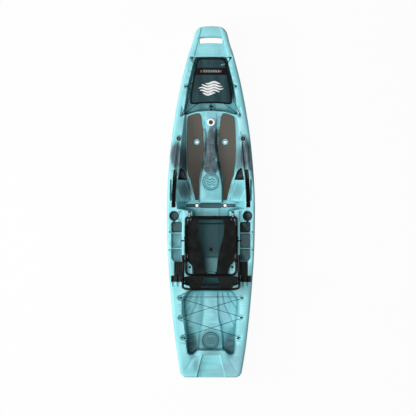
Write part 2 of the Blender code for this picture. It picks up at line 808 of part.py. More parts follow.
def gunwale_cutters(side):
    name = side_name(side)
    cutters = [trough_cut(side), tunnel_cut(side)]

    slit_x = half_beam(SLIT_PLACE) - SLIT_INSET
    cutters.append(
        side_block(
            f"slit_cut_{name}", side,
            box_corners(
                slit_x - SLIT_WIDTH / 2, slit_x + SLIT_WIDTH / 2,
                SLIT_PLACE - SLIT_LENGTH / 2, SLIT_PLACE + SLIT_LENGTH / 2, 0.003,
            ),
            DECK_HEIGHT - SLIT_DEPTH, ABOVE, steps=1,
        )
    )

    cutters.append(side_block(f"tip_pocket_cut_{name}", side, TIP_POCKET, POCKET_FLOOR, ABOVE, steps=2))

    holder_x = half_beam(CUP_HOLDER_PLACE) - CUP_HOLDER_INSET
    cutters.append(
        tool(
            f"cup_holder_cut_{name}",
            drum(
                f"cup_holder_cut_{name}", CUP_HOLDER_DIAMETER / 2 * 0.93,
                (side * holder_x, CUP_HOLDER_PLACE, DECK_HEIGHT - CUP_HOLDER_DEPTH),
                (side * holder_x, CUP_HOLDER_PLACE, DECK_HEIGHT + 0.04),
                20, CUP_HOLDER_DIAMETER / 2 * 1.03,
            ),
        )
    )
    neck = box_corners(
        holder_x - CUP_NECK_WIDTH / 2, holder_x + CUP_NECK_WIDTH / 2,
        TRAY_FRONT - 0.01, CUP_HOLDER_PLACE, 0.0,
    )
    cutters.append(side_block(f"cup_neck_cut_{name}", side, neck, DECK_HEIGHT - TRAY_DEPTH, ABOVE))

    outer = half_beam(TRAY_FRONT) - TRAY_INSET
    inner = outer - TRAY_WIDTH
    aft = TRAY_FRONT - TRAY_LENGTH
    cell = (TRAY_LENGTH - 2 * TRAY_RIB) / 3.55
    cells = (
        (TRAY_FRONT, TRAY_FRONT - cell, TRAY_FRONT_DEPTH),
        (TRAY_FRONT - cell - TRAY_RIB, TRAY_FRONT - 2.4 * cell - TRAY_RIB, TRAY_DEPTH),
        (TRAY_FRONT - 2.4 * cell - 2 * TRAY_RIB, aft, TRAY_DEPTH),
    )
    for number, (front, back, depth) in enumerate(cells):
        cutters.append(
            side_block(
                f"tray_cell_cut_{number}_{name}", side,
                box_corners(inner + 0.002, outer - 0.002, back, front, TRAY_RADIUS - 0.002),
                DECK_HEIGHT - depth, DECK_HEIGHT - TRAY_RIB_DROP + 0.004, 0.004, 2,
            )
        )
    cutters.append(
        side_block(
            f"tray_cut_{name}", side,
            [(inner, aft, 0.01), (outer - 0.024, aft, 0.01), (outer, aft + 0.03, 0.01),
             (outer, TRAY_FRONT, TRAY_RADIUS), (inner, TRAY_FRONT, TRAY_RADIUS)],
            DECK_HEIGHT - TRAY_RIB_DROP, ABOVE, 0.002, 2,
        )
    )
    cutters.append(
        side_block(
            f"rod_pad_cut_{name}", side,
            box_corners(
                rod_pad_inner() - FIT, rod_pad_inner() + ROD_PAD_WIDTH + FIT,
                ROD_PAD_FRONT - ROD_PAD_LENGTH - FIT, ROD_PAD_FRONT + FIT, 0.006,
            ),
            DECK_HEIGHT - ROD_PAD_SEAT - FIT, ABOVE, steps=2,
        )
    )
    for k in (-1, 1):
        x = side * (REST_INNER + REST_WIDTH / 2 + k * CRADLE_SPACING / 2)
        start = REST_FRONT - REST_LENGTH
        label = f"scallop_cut_{'outer' if k > 0 else 'inner'}_{name}"
        cutters.append(
            tool(
                label,
                drum(
                    label, CRADLE_DIAMETER / 2,
                    (x, start + 0.004, DECK_HEIGHT + 0.002), (x, start - SCALLOP_LENGTH, DECK_HEIGHT + 0.012),
                    10, CRADLE_DIAMETER * 0.32,
                ),
            )
        )
    return cutters


def hook_places():
    """Each hook: name, x, y and the outward direction that its throat opens to."""
    places = []
    for side in (-1, 1):
        for end, rows in (("bow", BOW_HOOKS), ("stern", STERN_HOOKS)):
            for row, x, y, tilt in rows:
                out = Vector((side, tilt)).normalized()
                places.append((f"{end}_hook_{row}_{side_name(side)}", side * x, y, out))
    return places


def hook_seat(y):
    return deck(y) - (BOW_HOOK_SEAT_DROP if y > 0 else HOOK_SEAT_DROP)


def hook_cutters():
    """Round-ended scoop in the rim behind each hook."""
    cutters = []
    for name, x, y, out in hook_places():
        across = Vector((-out.y, out.x))
        here = Vector((x, y))
        start = here - out * HOOK_SEAT_REACH
        end = here + out * HOOK_SEAT_BACK
        wide = HOOK_SEAT_RADIUS + HOOK_SEAT_FLARE
        outline = [start + across * wide, start - across * wide]
        for k in range(5):
            angle = math.radians(-90 + 45 * k)
            turned_out = out * math.cos(angle) + across * math.sin(angle)
            outline.append(end + turned_out * HOOK_SEAT_RADIUS)
        cutters.append(
            tool(f"{name}_cut", block(f"{name}_cut", [tuple(p) for p in outline], hook_seat(y), ABOVE))
        )
    return cutters


def stern_cutters():
    front = STERN + CHANNEL_RUN

    def ramp(x, y):
        run = min(max((front - y) / CHANNEL_RUN, 0.0), 1.0)
        return deck(y) - CHANNEL_FRONT_DROP - (CHANNEL_DROP - CHANNEL_FRONT_DROP) * run

    outline = [
        (CHANNEL_FRONT_WIDTH / 2, front),
        (CHANNEL_AFT_WIDTH / 2, STERN - 0.02),
        (-CHANNEL_AFT_WIDTH / 2, STERN - 0.02),
        (-CHANNEL_FRONT_WIDTH / 2, front),
    ]
    drain = (0.0, STERN, DRAIN_HEIGHT)
    return [
        tool("stern_channel_cut", block("stern_channel_cut", outline, ramp, ABOVE)),
        tool(
            "drain_seat_cut",
            drum(
                "drain_seat_cut", DRAIN_FLANGE / 2 + FIT,
                (0.0, STERN - 0.02, DRAIN_HEIGHT), (0.0, STERN + DRAIN_SEAT, DRAIN_HEIGHT), 16,
            ),
        ),
        tool(
            "drain_hole_cut",
            drum(
                "drain_hole_cut", DRAIN_BORE / 2 + CUP_WALL / 2 + FIT, drain,
                (0.0, STERN + DRAIN_SEAT + DRAIN_DEPTH, DRAIN_HEIGHT), 16,
            ),
        ),
    ]


def recess_face():
    return half_beam(HANDLE_PLACE) - HANDLE_RECESS_DEPTH


def handle_recess(side):
    name = f"handle_recess_cut_{side_name(side)}"
    half = HANDLE_RECESS_LENGTH / 2
    face = recess_face()
    outline = [
        (HANDLE_PLACE - half, HANDLE_RECESS_LOW, 0.02),
        (HANDLE_PLACE + half, HANDLE_RECESS_LOW, 0.02),
        (HANDLE_PLACE + half, HANDLE_RECESS_HIGH, 0.02),
        (HANDLE_PLACE - half, HANDLE_RECESS_HIGH, 0.02),
    ]
    points = rounded(outline, 2)
    outer = half_beam(HANDLE_PLACE) + 0.03
    rings = [
        [(side * face, y, z) for y, z in inset(points, 0.004)],
        [(side * outer, y, z) for y, z in points],
    ]
    return tool(name, loft(name, rings))


def ridge(side):
    """Raised half-round fairing over a rod tip tunnel, fading out at its front."""
    rings = []
    places = (
        (0.0, 0.86, 0.55), (0.06, 1.0, 0.96), (0.35, 1.0, 1.0),
        (0.75, 0.92, 0.85), (0.93, 0.7, 0.45), (1.0, 0.3, 0.08),
    )
    for along, wide, tall in places:
        y = RIDGE_AFT - 0.02 + RIDGE_LENGTH * along
        x = half_beam(y) - RIDGE_INSET
        half = RIDGE_WIDTH / 2 * wide
        top = RIDGE_HEIGHT * tall
        base = deck(y) - 0.03
        ring = [(x - half, base), (x + half, base)]
        for k in range(7):
            angle = math.pi * k / 6
            ring.append((x + half * math.cos(angle), deck(y) + top * math.sin(angle) ** 0.7))
        rings.append([(side * a, y, z) for a, z in ring])
    name = f"ridge_{side_name(side)}"
    return tool(name, loft(name, rings))


def mount_spot(side):
    return side * (half_beam(MOUNT_PLACE) - MOUNT_INSET), MOUNT_PLACE


def mount_top():
    return deck(MOUNT_PLACE) + MOUNT_BOSS_RISE


def center_top():
    return spine_at(CENTER_MOUNT_PLACE) + 0.008


def scupper_spots():
    front_x, front_y = FRONT_SCUPPER_PLACE
    return [(front_x, front_y), (CHANNEL_SCUPPER_X, CROSS_CHANNEL_PLACE)]


def hull_additions():
    added = both(lambda side: [ridge(side)])
    for side in (1, -1):
        x, y = mount_spot(side)
        name = f"mount_boss_{side_name(side)}"
        added.append(
            tool(name, drum(name, MOUNT_BOSS / 2 + 0.003, (x, y, deck(y) - 0.02), (x, y, mount_top()),
                            20, MOUNT_BOSS / 2))
        )
        x, y = scupper_spots()[0]
        name = f"scupper_boss_{side_name(side)}"
        high = floor_at(y) + PAD_THICKNESS
        added.append(
            tool(name, drum(name, SCUPPER_BOSS / 2, (side * x, y, high - 0.03), (side * x, y, high), 16,
                            SCUPPER_BOSS / 2 - 0.003))
        )
    added.append(
        tool(
            "center_boss",
            drum("center_boss", CENTER_BOSS / 2 + 0.008, (0, CENTER_MOUNT_PLACE, center_top() - 0.04),
                 (0, CENTER_MOUNT_PLACE, center_top()), 20, CENTER_BOSS / 2),
        )
    )
    return added


def hull_holes():
    """Holes that pass through what was added: sockets, scuppers and plug seats."""
    holes = []
    for side in (1, -1):
        name = side_name(side)
        x, y = mount_spot(side)
        holes.append(
            tool(f"mount_hole_{name}",
                 drum(f"mount_hole_{name}", CUP_DIAMETER / 2 + FIT, (x, y, mount_top() - CUP_DEPTH - FIT),
                      (x, y, mount_top() + 0.05), 16))
        )
        for number, (x, y) in enumerate(scupper_spots()):
            label = f"scupper_hole_{number}_{name}"
            holes.append(
                tool(label, drum(label, SCUPPER_DIAMETER / 2 + 0.004, (side * x, y, -0.05),
                                 (side * x, y, floor_at(y) + 0.05), 12, SCUPPER_DIAMETER / 2))
            )
        x, y = DISH_PLACE
        dish = [
            (side * (x + DISH_WIDTH / 2 * math.cos(a)), y + DISH_LENGTH / 2 * math.sin(a))
            for a in np.linspace(0, 2 * math.pi, 17)[:-1]
        ]
        holes.append(
            tool(f"dish_cut_{name}",
                 block(f"dish_cut_{name}", dish, DECK_HEIGHT - DISH_DEPTH, DECK_HEIGHT + 0.004, 0.006))
        )
        holes.append(
            tool(f"plug_hole_{name}",
                 drum(f"plug_hole_{name}", PLUG_DIAMETER / 2 + FIT,
                      (side * x, y, DECK_HEIGHT - DISH_DEPTH - PLUG_DEPTH - FIT),
                      (side * x, y, DECK_HEIGHT + 0.03), 12))
        )
    center = CENTER_MOUNT_PLACE
    holes.append(
        tool("center_hole",
             drum("center_hole", CUP_DIAMETER / 2 + FIT, (0, center, center_top() - CUP_DEPTH - FIT),
                  (0, center, center_top() + 0.05), 16))
    )
    return holes


def cross_channel():
    half = CROSS_CHANNEL_WIDTH / 2
    low = CROSS_CHANNEL_PLACE - CROSS_CHANNEL_LENGTH / 2
    high = CROSS_CHANNEL_PLACE + CROSS_CHANNEL_LENGTH / 2
    corners = [(-half, low, 0.012), (half, low, 0.012), (half, high, 0.012), (-half, high, 0.012)]
    return tool(
        "cross_channel_cut",
        block("cross_channel_cut", rounded(corners), FLOOR_HEIGHT - CROSS_CHANNEL_DEPTH,
              FLOOR_HEIGHT + 0.035, 0.004),
    )


def disc_cut(y):
    """Shallow round groove that frames a bare disc on the centre panel."""
    name = f"disc_cut_{'front' if y > 0 else 'rear'}"

    def panel(place):
        if y > 0:
            return spine_at(place)
        return even(sorted((row[0], row[6]) for row in TANK), place)

    outer = DISC_DIAMETER / 2
    rings = []
    for spot in circle(1.0, 24):
        ring = []
        for radius, rise in (
            (outer, -DISC_DEPTH), (outer, DISC_DEPTH), (outer - DISC_RING, DISC_DEPTH),
            (outer - DISC_RING, -DISC_DEPTH),
        ):
            place = y + radius * spot[1]
            ring.append((radius * spot[0], place, panel(place) + rise))
        rings.append(ring)
    return tool(name, loft(name, rings, closed=True))


def make_hull(finish):
    mesh = loft("hull", [hull_section(y) for y in hull_stations()])
    hull = link("hull", mesh, finish)
    cutters = bow_cutters() + [air("cockpit_air", COCKPIT), air("tank_air", TANK)]
    change(hull, "DIFFERENCE", cutters)
    change(hull, "DIFFERENCE", [cross_channel()] + hook_cutters() + stern_cutters())
    change(hull, "UNION", hull_additions())
    change(hull, "DIFFERENCE", both(gunwale_cutters) + both(lambda side: [handle_recess(side)]))
    change(hull, "DIFFERENCE", hull_holes() + [disc_cut(y) for y in DISC_PLACES])
    return hull


# Foot pads: y, inner edge and outer edge on the right-hand side.
PAD_OUTLINE = (
    (0.889, 0.122, 0.150), (0.872, 0.108, 0.205), (0.855, 0.098, 0.232), (0.815, 0.094, 0.239),
    (0.711, 0.082, 0.243), (0.604, 0.075, 0.246), (0.521, 0.072, 0.246), (0.441, 0.082, 0.245),
    (0.351, 0.100, 0.239), (0.271, 0.114, 0.229), (0.231, 0.119, 0.212), (0.222, 0.120, 0.208),
    (0.151, 0.123, 0.188), (0.021, 0.124, 0.158),
)


def make_foot_pad(side, finish):
    rings = []
    for y, inner, outer in PAD_OUTLINE:
        low = floor_at(y) + FIT
        high = low + PAD_THICKNESS
        lip = 0.002
        ring = [(inner, low), (outer, low), (outer, high - lip), (outer - lip, high),
                (inner + lip, high), (inner, high - lip)]
        rings.append([(side * x, y, z) for x, z in ring])
    pad = link(f"foot_pad_{side_name(side)}", loft("foot_pad", rings), finish)
    x, y = scupper_spots()[0]
    name = f"pad_hole_{side_name(side)}"
    hole = tool(name, drum(name, SCUPPER_BOSS / 2 + 2 * FIT, (side * x, y, floor_at(y) - 0.03),
                           (side * x, y, floor_at(y) + 0.03), 16))
    change(pad, "DIFFERENCE", [hole])
    return [pad]


def cord(name, points, diameter, finish):
    """Round cord along its points, closed at both ends."""
    data = bpy.data.curves.new(name, "CURVE")
    data.dimensions = "3D"
    line = data.splines.new("POLY")
    line.points.add(len(points) - 1)
    for item, point in zip(line.points, points):
        item.co = (*point, 1.0)
    data.bevel_depth = diameter / 2
    data.bevel_resolution = 2
    data.use_fill_caps = True
    data.materials.append(finish)
    thing = bpy.data.objects.new(name, data)
    bpy.context.scene.collection.objects.link(thing)
    return thing


def cord_height(y):
    """Height of a cord's middle where it lies in a hook."""
    return hook_seat(y) + HOOK_BASE + TOUCH + CORD_DIAMETER / 2 + FIT


def round_hook(place, before, after):
    """Points of a cord that comes from before, rounds the hook and leaves for after."""
    x, y, out = place
    here = Vector((x, y))
    across = Vector((-out.y, out.x))
    reach = HOOK_WIDTH / 2 + CORD_DIAMETER / 2 + 2 * TOUCH
    turn = 1 if (Vector(before) - here).dot(across) > (Vector(after) - here).dot(across) else -1
    z = cord_height(y)
    points = []
    for angle in (-100, -60, -20, 20, 60, 100):
        a = math.radians(angle)
        spot = here + out * (0.001 + reach * math.cos(a)) - across * turn * reach * math.sin(a)
        points.append((spot.x, spot.y, z))
    return points


def between(start, end, lift, steps=3):
    """Points inside a straight run, lifted in the middle."""
    start = Vector(start)
    end = Vector(end)
    points = []
    for k in range(1, steps + 1):
        s = k / (steps + 1)
        spot = start.lerp(end, s)
        spot.z += lift * math.sin(math.pi * s)
        points.append(tuple(spot))
    return points


def make_stern_cord(finish):
    spots = {name: (x, y, out) for name, x, y, out in hook_places()}
    order = ("rear_left", "mid_right", "front_left", "front_right", "mid_left", "rear_right")
    route = [spots[f"stern_hook_{key}"] for key in order]
    lifts = (CROSSING_LIFT, CROSSING_LIFT, 0.0, -CROSSING_LIFT, -CROSSING_LIFT)
    points = []
    for i, (x, y, out) in enumerate(route):
        before = route[i - 1][:2] if i > 0 else (x, y - 0.05)
        after = route[i + 1][:2] if i < len(route) - 1 else (x, y - 0.05)
        turn = round_hook((x, y, out), before, after)
        if i > 0:
            points += between(points[-1], turn[0], lifts[i - 1])
        points += turn
    return cord("stern_cord", points, CORD_DIAMETER, finish)


# Bow cover: y, half width. Its cord lies just outside this edge.
COVER_EDGE = (
    (1.438, 0.118), (1.430, 0.134), (1.415, 0.144), (1.37, 0.152), (1.27, 0.171),
    (1.17, 0.190), (1.08, 0.204), (1.02, 0.210), (0.992, 0.210), (0.978, 0.196),
)
COVER_ARCH = 0.022
CORD_GAP = 0.0008


def cover_half(y):
    return even(sorted(COVER_EDGE), y)


def cover_height(x, y):
    crown = COVER_CROWN * (1 - min(abs(x) / cover_half(y), 1.0) ** 2)
    return deck(y) - COVER_DROP + crown


def make_bow_cover(finish):
    """Thin crowned sheet. Its aft edge is arched forward in the middle."""
    columns = 8
    rows = []
    aft = COVER_EDGE[-1][0]
    for y, half in COVER_EDGE:
        row = []
        for k in range(columns + 1):
            s = -1 + 2 * k / columns
            ease = max((1.12 - y) / (1.12 - aft), 0.0)
            row.append((half * s, y + COVER_ARCH * (1 - s * s) * ease))
        rows.append(row)
    rings = []
    for row in rows:
        top = [(x, y, cover_height(x, y) + COVER_THICKNESS / 2) for x, y in row]
        low = [(x, y, cover_height(x, y) - COVER_THICKNESS / 2) for x, y in reversed(row)]
        rings.append(top + low)
    return link("bow_cover", loft("bow_cover", rings), finish)


def make_bow_cord(finish):
    """Cord round the cover: from the lock along its hem, out to each hook and back."""
    spots = {name: (x, y, out) for name, x, y, out in hook_places()}
    gap = CORD_DIAMETER / 2 + CORD_GAP
    aft = COVER_EDGE[-1][0]

    def edge(side, y):
        return (side * (cover_half(y) + gap), y, deck(y) - COVER_DROP)

    def side_route(side):
        """From the lock to the middle of the cover's front edge."""
        rear = spots[f"bow_hook_rear_{side_name(side)}"]
        mid = spots[f"bow_hook_mid_{side_name(side)}"]
        front = spots[f"bow_hook_front_{side_name(side)}"]
        strand = side * STRAND_SPACING / 2
        hem = aft - gap
        level = deck(LOCK_PLACE) - COVER_DROP
        points = [
            (strand, LOCK_PLACE - 0.03, level),
            (strand, LOCK_PLACE + 0.02, level),
            (side * 0.012, LOCK_PLACE + 0.035, level),
            (side * 0.04, hem + COVER_ARCH * 0.94, level),
            (side * 0.085, hem + COVER_ARCH * 0.78, level),
            (side * 0.125, hem + COVER_ARCH * 0.5, level),
        ]
        points += round_hook(rear, (side * 0.12, hem), edge(side, 1.05)[:2])
        points += [edge(side, 1.05), edge(side, 1.08), edge(side, 1.12)]
        points += round_hook(mid, edge(side, 1.12)[:2], edge(side, 1.19)[:2])
        points += [edge(side, 1.19), edge(side, 1.27), edge(side, 1.37)]
        head = (side * 0.11, COVER_EDGE[0][0] + gap)
        points += round_hook(front, edge(side, 1.37)[:2], head)
        points.append((*head, deck(head[1]) - COVER_DROP))
        return points

    right = side_route(1)
    left = side_route(-1)
    return cord("bow_cover_cord", right + left[::-1], CORD_DIAMETER, finish)


def make_hooks(finish):
    """J-shaped deck hooks: a base, a neck and a lip that reaches out over the cord."""
    slot = CORD_DIAMETER + 2 * TOUCH + FIT
    top = HOOK_BASE + slot
    lip = 0.0035
    profile = [
        (-HOOK_NECK, 0.0), (0.018, 0.0), (0.020, 0.001), (0.020, HOOK_BASE), (0.0, HOOK_BASE),
        (0.0, top), (0.009, top), (0.012, top - 0.001), (0.0135, top + 0.001),
        (0.012, top + lip - 0.0005), (0.008, top + lip), (-HOOK_NECK + 0.003, top + lip),
        (-HOOK_NECK, top + lip - 0.003),
    ]
    for name, x, y, out in hook_places():
        across = Vector((-out.y, out.x))
        rings = []
        for half in (-HOOK_WIDTH / 2, HOOK_WIDTH / 2):
            ring = []
            for u, z in profile:
                spot = Vector((x, y)) + out * u + across * half
                ring.append((spot.x, spot.y, hook_seat(y) + FIT + z))
            rings.append(ring)
        link(name, loft(name, rings), finish)


def make_cord_lock(body_finish, plunger_finish):
    """Barrel lock on the two strands. The plunger is pressed in along X."""
    y = LOCK_PLACE
    z = deck(y) - COVER_DROP
    left = -LOCK_LENGTH * 0.59
    right = left + LOCK_LENGTH
    bore = PLUNGER_DIAMETER / 2 + FIT
    outer = LOCK_DIAMETER / 2
    lip = 0.002
    profile = [
        (0.0, left), (outer - lip, left), (outer, left + lip), (outer, right - lip / 2),
        (outer - lip / 2, right), (bore, right), (bore, left + LOCK_WALL), (0.0, left + LOCK_WALL),
    ]
    axis = (1, 0, 0)
    body = link("cord_lock_body", turned("cord_lock_body", profile, (0, y, z), axis, 16), body_finish)
    slot_half = STRAND_SPACING / 2 + CORD_DIAMETER / 2 + TOUCH
    slot_high = CORD_DIAMETER / 2 + TOUCH

    def slot(name, low, high):
        outline = [(low, y - 0.03), (high, y - 0.03), (high, y + 0.03), (low, y + 0.03)]
        return tool(name, block(name, outline, z - slot_high, z + slot_high))

    change(body, "DIFFERENCE", [slot("lock_slot_cut", -slot_half, slot_half)])
    inner_end = left + LOCK_WALL + PLUNGER_TRAVEL + 2 * FIT
    head_start = right + PLUNGER_TRAVEL + FIT
    stem = PLUNGER_DIAMETER / 2
    head = PLUNGER_HEAD / 2
    profile = [
        (0.0, inner_end), (stem - 0.0005, inner_end), (stem, inner_end + 0.0005), (stem, head_start),
        (head, head_start), (head, head_start + PLUNGER_HEAD_LENGTH - 0.001),
        (head - 0.001, head_start + PLUNGER_HEAD_LENGTH), (0.0, head_start + PLUNGER_HEAD_LENGTH),
    ]
    plunger = link("cord_lock_plunger", turned("cord_lock_plunger", profile, (0, y, z), axis, 16),
                   plunger_finish)
    change(plunger, "DIFFERENCE",
           [slot("plunger_slot_cut", -slot_half, slot_half + PLUNGER_TRAVEL)])
    hang(plunger, (right, y, z))


def make_cup(name, x, y, top, finish):
    """Turned socket with a closed floor, seated in the hull."""
    outer = CUP_DIAMETER / 2
    inner = outer - CUP_WALL
    floor = -CUP_DEPTH + 0.006
    profile = [(0.0, -CUP_DEPTH), (outer, -CUP_DEPTH), (outer, 0.0), (inner, 0.0), (inner - 0.001, floor),
               (0.0, floor)]
    return link(name, turned(name, profile, (x, y, top), sides=16), finish)


def make_insert(name, x, y, top, finish):
    """Threaded insert standing on the socket's floor."""
    floor = top - CUP_DEPTH + 0.006 + FIT
    outer = INSERT_DIAMETER / 2
    bore = INSERT_BORE / 2
    profile = [(bore, 0.0), (outer, 0.0), (outer, INSERT_HEIGHT - 0.001),
               (outer - 0.001, INSERT_HEIGHT), (bore, INSERT_HEIGHT)]
    return link(name, turned(name, profile, (x, y, floor), sides=12), finish)


def make_mounts(cup_finish, brass, white):
    for side in (1, -1):
        x, y = mount_spot(side)
        make_cup(f"side_mount_cup_{side_name(side)}", x, y, mount_top(), cup_finish)
        make_insert(f"side_mount_insert_{side_name(side)}", x, y, mount_top(), brass)
    y = CENTER_MOUNT_PLACE
    top = center_top()
    make_cup("center_mount_cup", 0, y, top, cup_finish)
    make_insert("center_mount_insert", 0, y, top, brass)
    outer = RING_DIAMETER / 2
    bore = RING_BORE / 2
    profile = [(bore, 0.0), (outer, 0.0), (outer, RING_HEIGHT - 0.002), (outer - 0.002, RING_HEIGHT),
               (bore + 0.002, RING_HEIGHT), (bore, RING_HEIGHT - 0.002)]
    link("center_mount_ring", turned("center_mount_ring", profile, (0, y, top + FIT), sides=24), white)


def make_trough(side, finish):
    """Lined channel that guides a rod to its tip tunnel."""
    rings = []
    half = TROUGH_WIDTH / 2
    for x, y in gunwale_path(TROUGH_INSET, TROUGH_FRONT, TROUGH_LENGTH, TROUGH_STATIONS):
        top = deck(y) + 0.0015
        low = deck(y) - trough_drop(y)
        inner = low + TROUGH_WALL
        ring = [
            (x - half, top), (x - half, low), (x + half, low), (x + half, top),
            (x + half - TROUGH_WALL, top), (x + half - TROUGH_WALL, inner + 0.004),
            (x + half - TROUGH_WALL - 0.004, inner), (x - half + TROUGH_WALL + 0.004, inner),
            (x - half + TROUGH_WALL, inner + 0.004), (x - half + TROUGH_WALL, top),
        ]
        rings.append([(side * a, y, z) for a, z in ring])
    name = f"rod_trough_{side_name(side)}"
    return [link(name, loft(name, rings), finish)]


def make_rod_pad(side, finish):
    inner = side * rod_pad_inner()
    outer = side * (rod_pad_inner() + ROD_PAD_WIDTH)
    aft = ROD_PAD_FRONT - ROD_PAD_LENGTH
    corners = [(inner, aft, 0.006), (outer, aft, 0.006), (outer, ROD_PAD_FRONT, 0.006),
               (inner, ROD_PAD_FRONT, 0.006)]
    low = DECK_HEIGHT - ROD_PAD_SEAT
    name = f"rod_pad_{side_name(side)}"
    return [link(name, block(name, rounded(corners, 2), low, low + ROD_PAD_THICKNESS), finish)]


def make_rod_rest(side, finish):
    """Block with two round cradles across the deck behind the pad."""
    low = DECK_HEIGHT + FIT
    high = low + REST_HEIGHT
    middle = REST_INNER + REST_WIDTH / 2
    radius = CRADLE_DIAMETER / 2
    half = REST_WIDTH / 2
    outline = [(middle - half, low), (middle + half, low), (middle + half, low + 0.010),
               (middle + half - 0.006, high)]
    for center in (middle + CRADLE_SPACING / 2, middle - CRADLE_SPACING / 2):
        for k in range(7):
            angle = math.pi * k / 6
            outline.append((center + radius * math.cos(angle), high - radius * math.sin(angle) * 0.95))
    outline += [(middle - half + 0.004, high), (middle - half, high - 0.004)]
    rings = []
    for y, shrink in (
        (REST_FRONT, 0.92), (REST_FRONT - 0.006, 1.0),
        (REST_FRONT - REST_LENGTH + 0.006, 1.0), (REST_FRONT - REST_LENGTH, 0.92),
    ):
        rings.append([(side * x, y, low + (z - low) * shrink) for x, z in outline])
    name = f"rod_rest_{side_name(side)}"
    return [link(name, loft(name, rings), finish)]


# Seat

SEAT_LEVEL = DECK_HEIGHT + SEAT_RISE
TUBE = TUBE_DIAMETER / 2
SEAT_REAR = SEAT_FRONT - SEAT_DEPTH
BACK_X = SEAT_WIDTH / 2 + TUBE + BACK_SIDE_GAP + TUBE
LEAN = math.radians(BACK_LEAN)
SEAT_AXIS = (0.0, SEAT_FRONT, SEAT_LEVEL)
BACK_AXIS = (0.0, BACK_PIVOT_PLACE, SEAT_LEVEL)


def back_point(along, x=0.0, forward=0.0):
    """Point of the back's plane at a distance up from its elbow."""
    return (
        x,
        BACK_ELBOW_PLACE - along * math.sin(LEAN) + forward * math.cos(LEAN),
        SEAT_LEVEL + BACK_ELBOW_RISE + along * math.cos(LEAN) + forward * math.sin(LEAN),
    )


def bolt_hole(name, side):
    start = side * (SEAT_WIDTH / 2 - 0.03)
    end = side * (BACK_X + 0.03)
    return tool(name, drum(name, BOLT_DIAMETER / 2 + FIT, (start, BACK_PIVOT_PLACE, SEAT_LEVEL),
                           (end, BACK_PIVOT_PLACE, SEAT_LEVEL), 12))


def make_seat_frame(finish):
    half = SEAT_WIDTH / 2
    corners = [(half, SEAT_REAR, SEAT_REAR_CORNER), (half, SEAT_FRONT, SEAT_FRONT_CORNER),
               (-half, SEAT_FRONT, SEAT_FRONT_CORNER), (-half, SEAT_REAR, SEAT_REAR_CORNER)]
    path = [(x, y, SEAT_LEVEL) for x, y in rounded(corners, 4)]
    frame = link("seat_frame", sweep("seat_frame", path, TUBE, closed=True), finish)
    change(frame, "DIFFERENCE", [bolt_hole("seat_bolt_cut_right", 1), bolt_hole("seat_bolt_cut_left", -1)])
    return hang(frame, SEAT_AXIS)


def make_back_frame(finish):
    lift = Vector((BACK_ELBOW_PLACE - BACK_PIVOT_PLACE, BACK_ELBOW_RISE)).normalized()
    tail = BACK_PIVOT_PLACE - lift.x * BACK_TAIL
    level = SEAT_LEVEL - lift.y * BACK_TAIL
    points = [(-BACK_X, tail, level), back_point(0, -BACK_X), back_point(BACK_HEIGHT, -BACK_X),
              back_point(BACK_HEIGHT, BACK_X), back_point(0, BACK_X), (BACK_X, tail, level)]
    path = bend(points, BACK_CORNER)
    frame = link("back_frame", sweep("back_frame", path, TUBE), finish)
    change(frame, "DIFFERENCE", [bolt_hole("back_bolt_cut_right", 1), bolt_hole("back_bolt_cut_left", -1)])
    return hang(frame, BACK_AXIS)


def make_pivot_bolt(side, finish):
    """Shouldered bolt through the seat tube and the back's leg."""
    radius = BOLT_DIAMETER / 2
    head = BOLT_HEAD / 2
    start = SEAT_WIDTH / 2 - TUBE - TOUCH
    end = BACK_X + TUBE + TOUCH
    profile = [
        (0.0, start - BOLT_HEAD_HEIGHT), (head, start - BOLT_HEAD_HEIGHT), (head, start),
        (radius, start), (radius, end), (head, end), (head - 0.0015, end + BOLT_HEAD_HEIGHT),
        (0.0, end + BOLT_HEAD_HEIGHT),
    ]
    name = f"back_pivot_bolt_{side_name(side)}"
    place = (0.0, BACK_PIVOT_PLACE, SEAT_LEVEL)
    return [hang(link(name, turned(name, profile, place, (side, 0, 0), 12), finish), SEAT_AXIS)]


def sheet(name, rows, thickness, normal, finish):
    """Thin solid over rows of points, its thickness laid along a direction."""
    offset = Vector(normal).normalized() * thickness / 2
    rings = []
    for row in rows:
        top = [Vector(p) + offset for p in row]
        low = [Vector(p) - offset for p in reversed(row)]
        rings.append(top + low)
    return link(name, loft(name, rings), finish)


def make_seat_sling(finish):
    """Sagging sling, notched at the back's bolts. Rows are (place along the seat, half width)."""
    edge = SEAT_WIDTH / 2 - TUBE - TOUCH
    front = SEAT_FRONT - TUBE - TOUCH
    rear = SEAT_REAR + TUBE + TOUCH
    run = front - rear
    bolt = (front - BACK_PIVOT_PLACE) / run
    notch = BOLT_HEAD_HEIGHT + TOUCH
    shape = (
        (0.0, edge - 0.058), (0.04, edge - 0.045), (0.09, edge - 0.018), (0.13, edge), (0.4, edge),
        (bolt - 0.035, edge), (bolt - 0.02, edge - notch), (bolt + 0.02, edge - notch),
        (bolt + 0.035, edge), (0.80, edge - 0.018), (0.88, edge - 0.052), (0.95, edge - 0.068),
        (1.0, edge - 0.074),
    )
    rows = []
    for along, half in shape:
        row = []
        for k in range(9):
            s = -1 + k / 4
            sag = SLING_SAG * (1 - s * s) * math.sin(math.pi * along)
            row.append((half * s, front - run * along, SEAT_LEVEL - sag))
        rows.append(row)
    return hang(sheet("seat_sling", rows, SLING_THICKNESS, (0, 0, 1), finish), SEAT_AXIS)


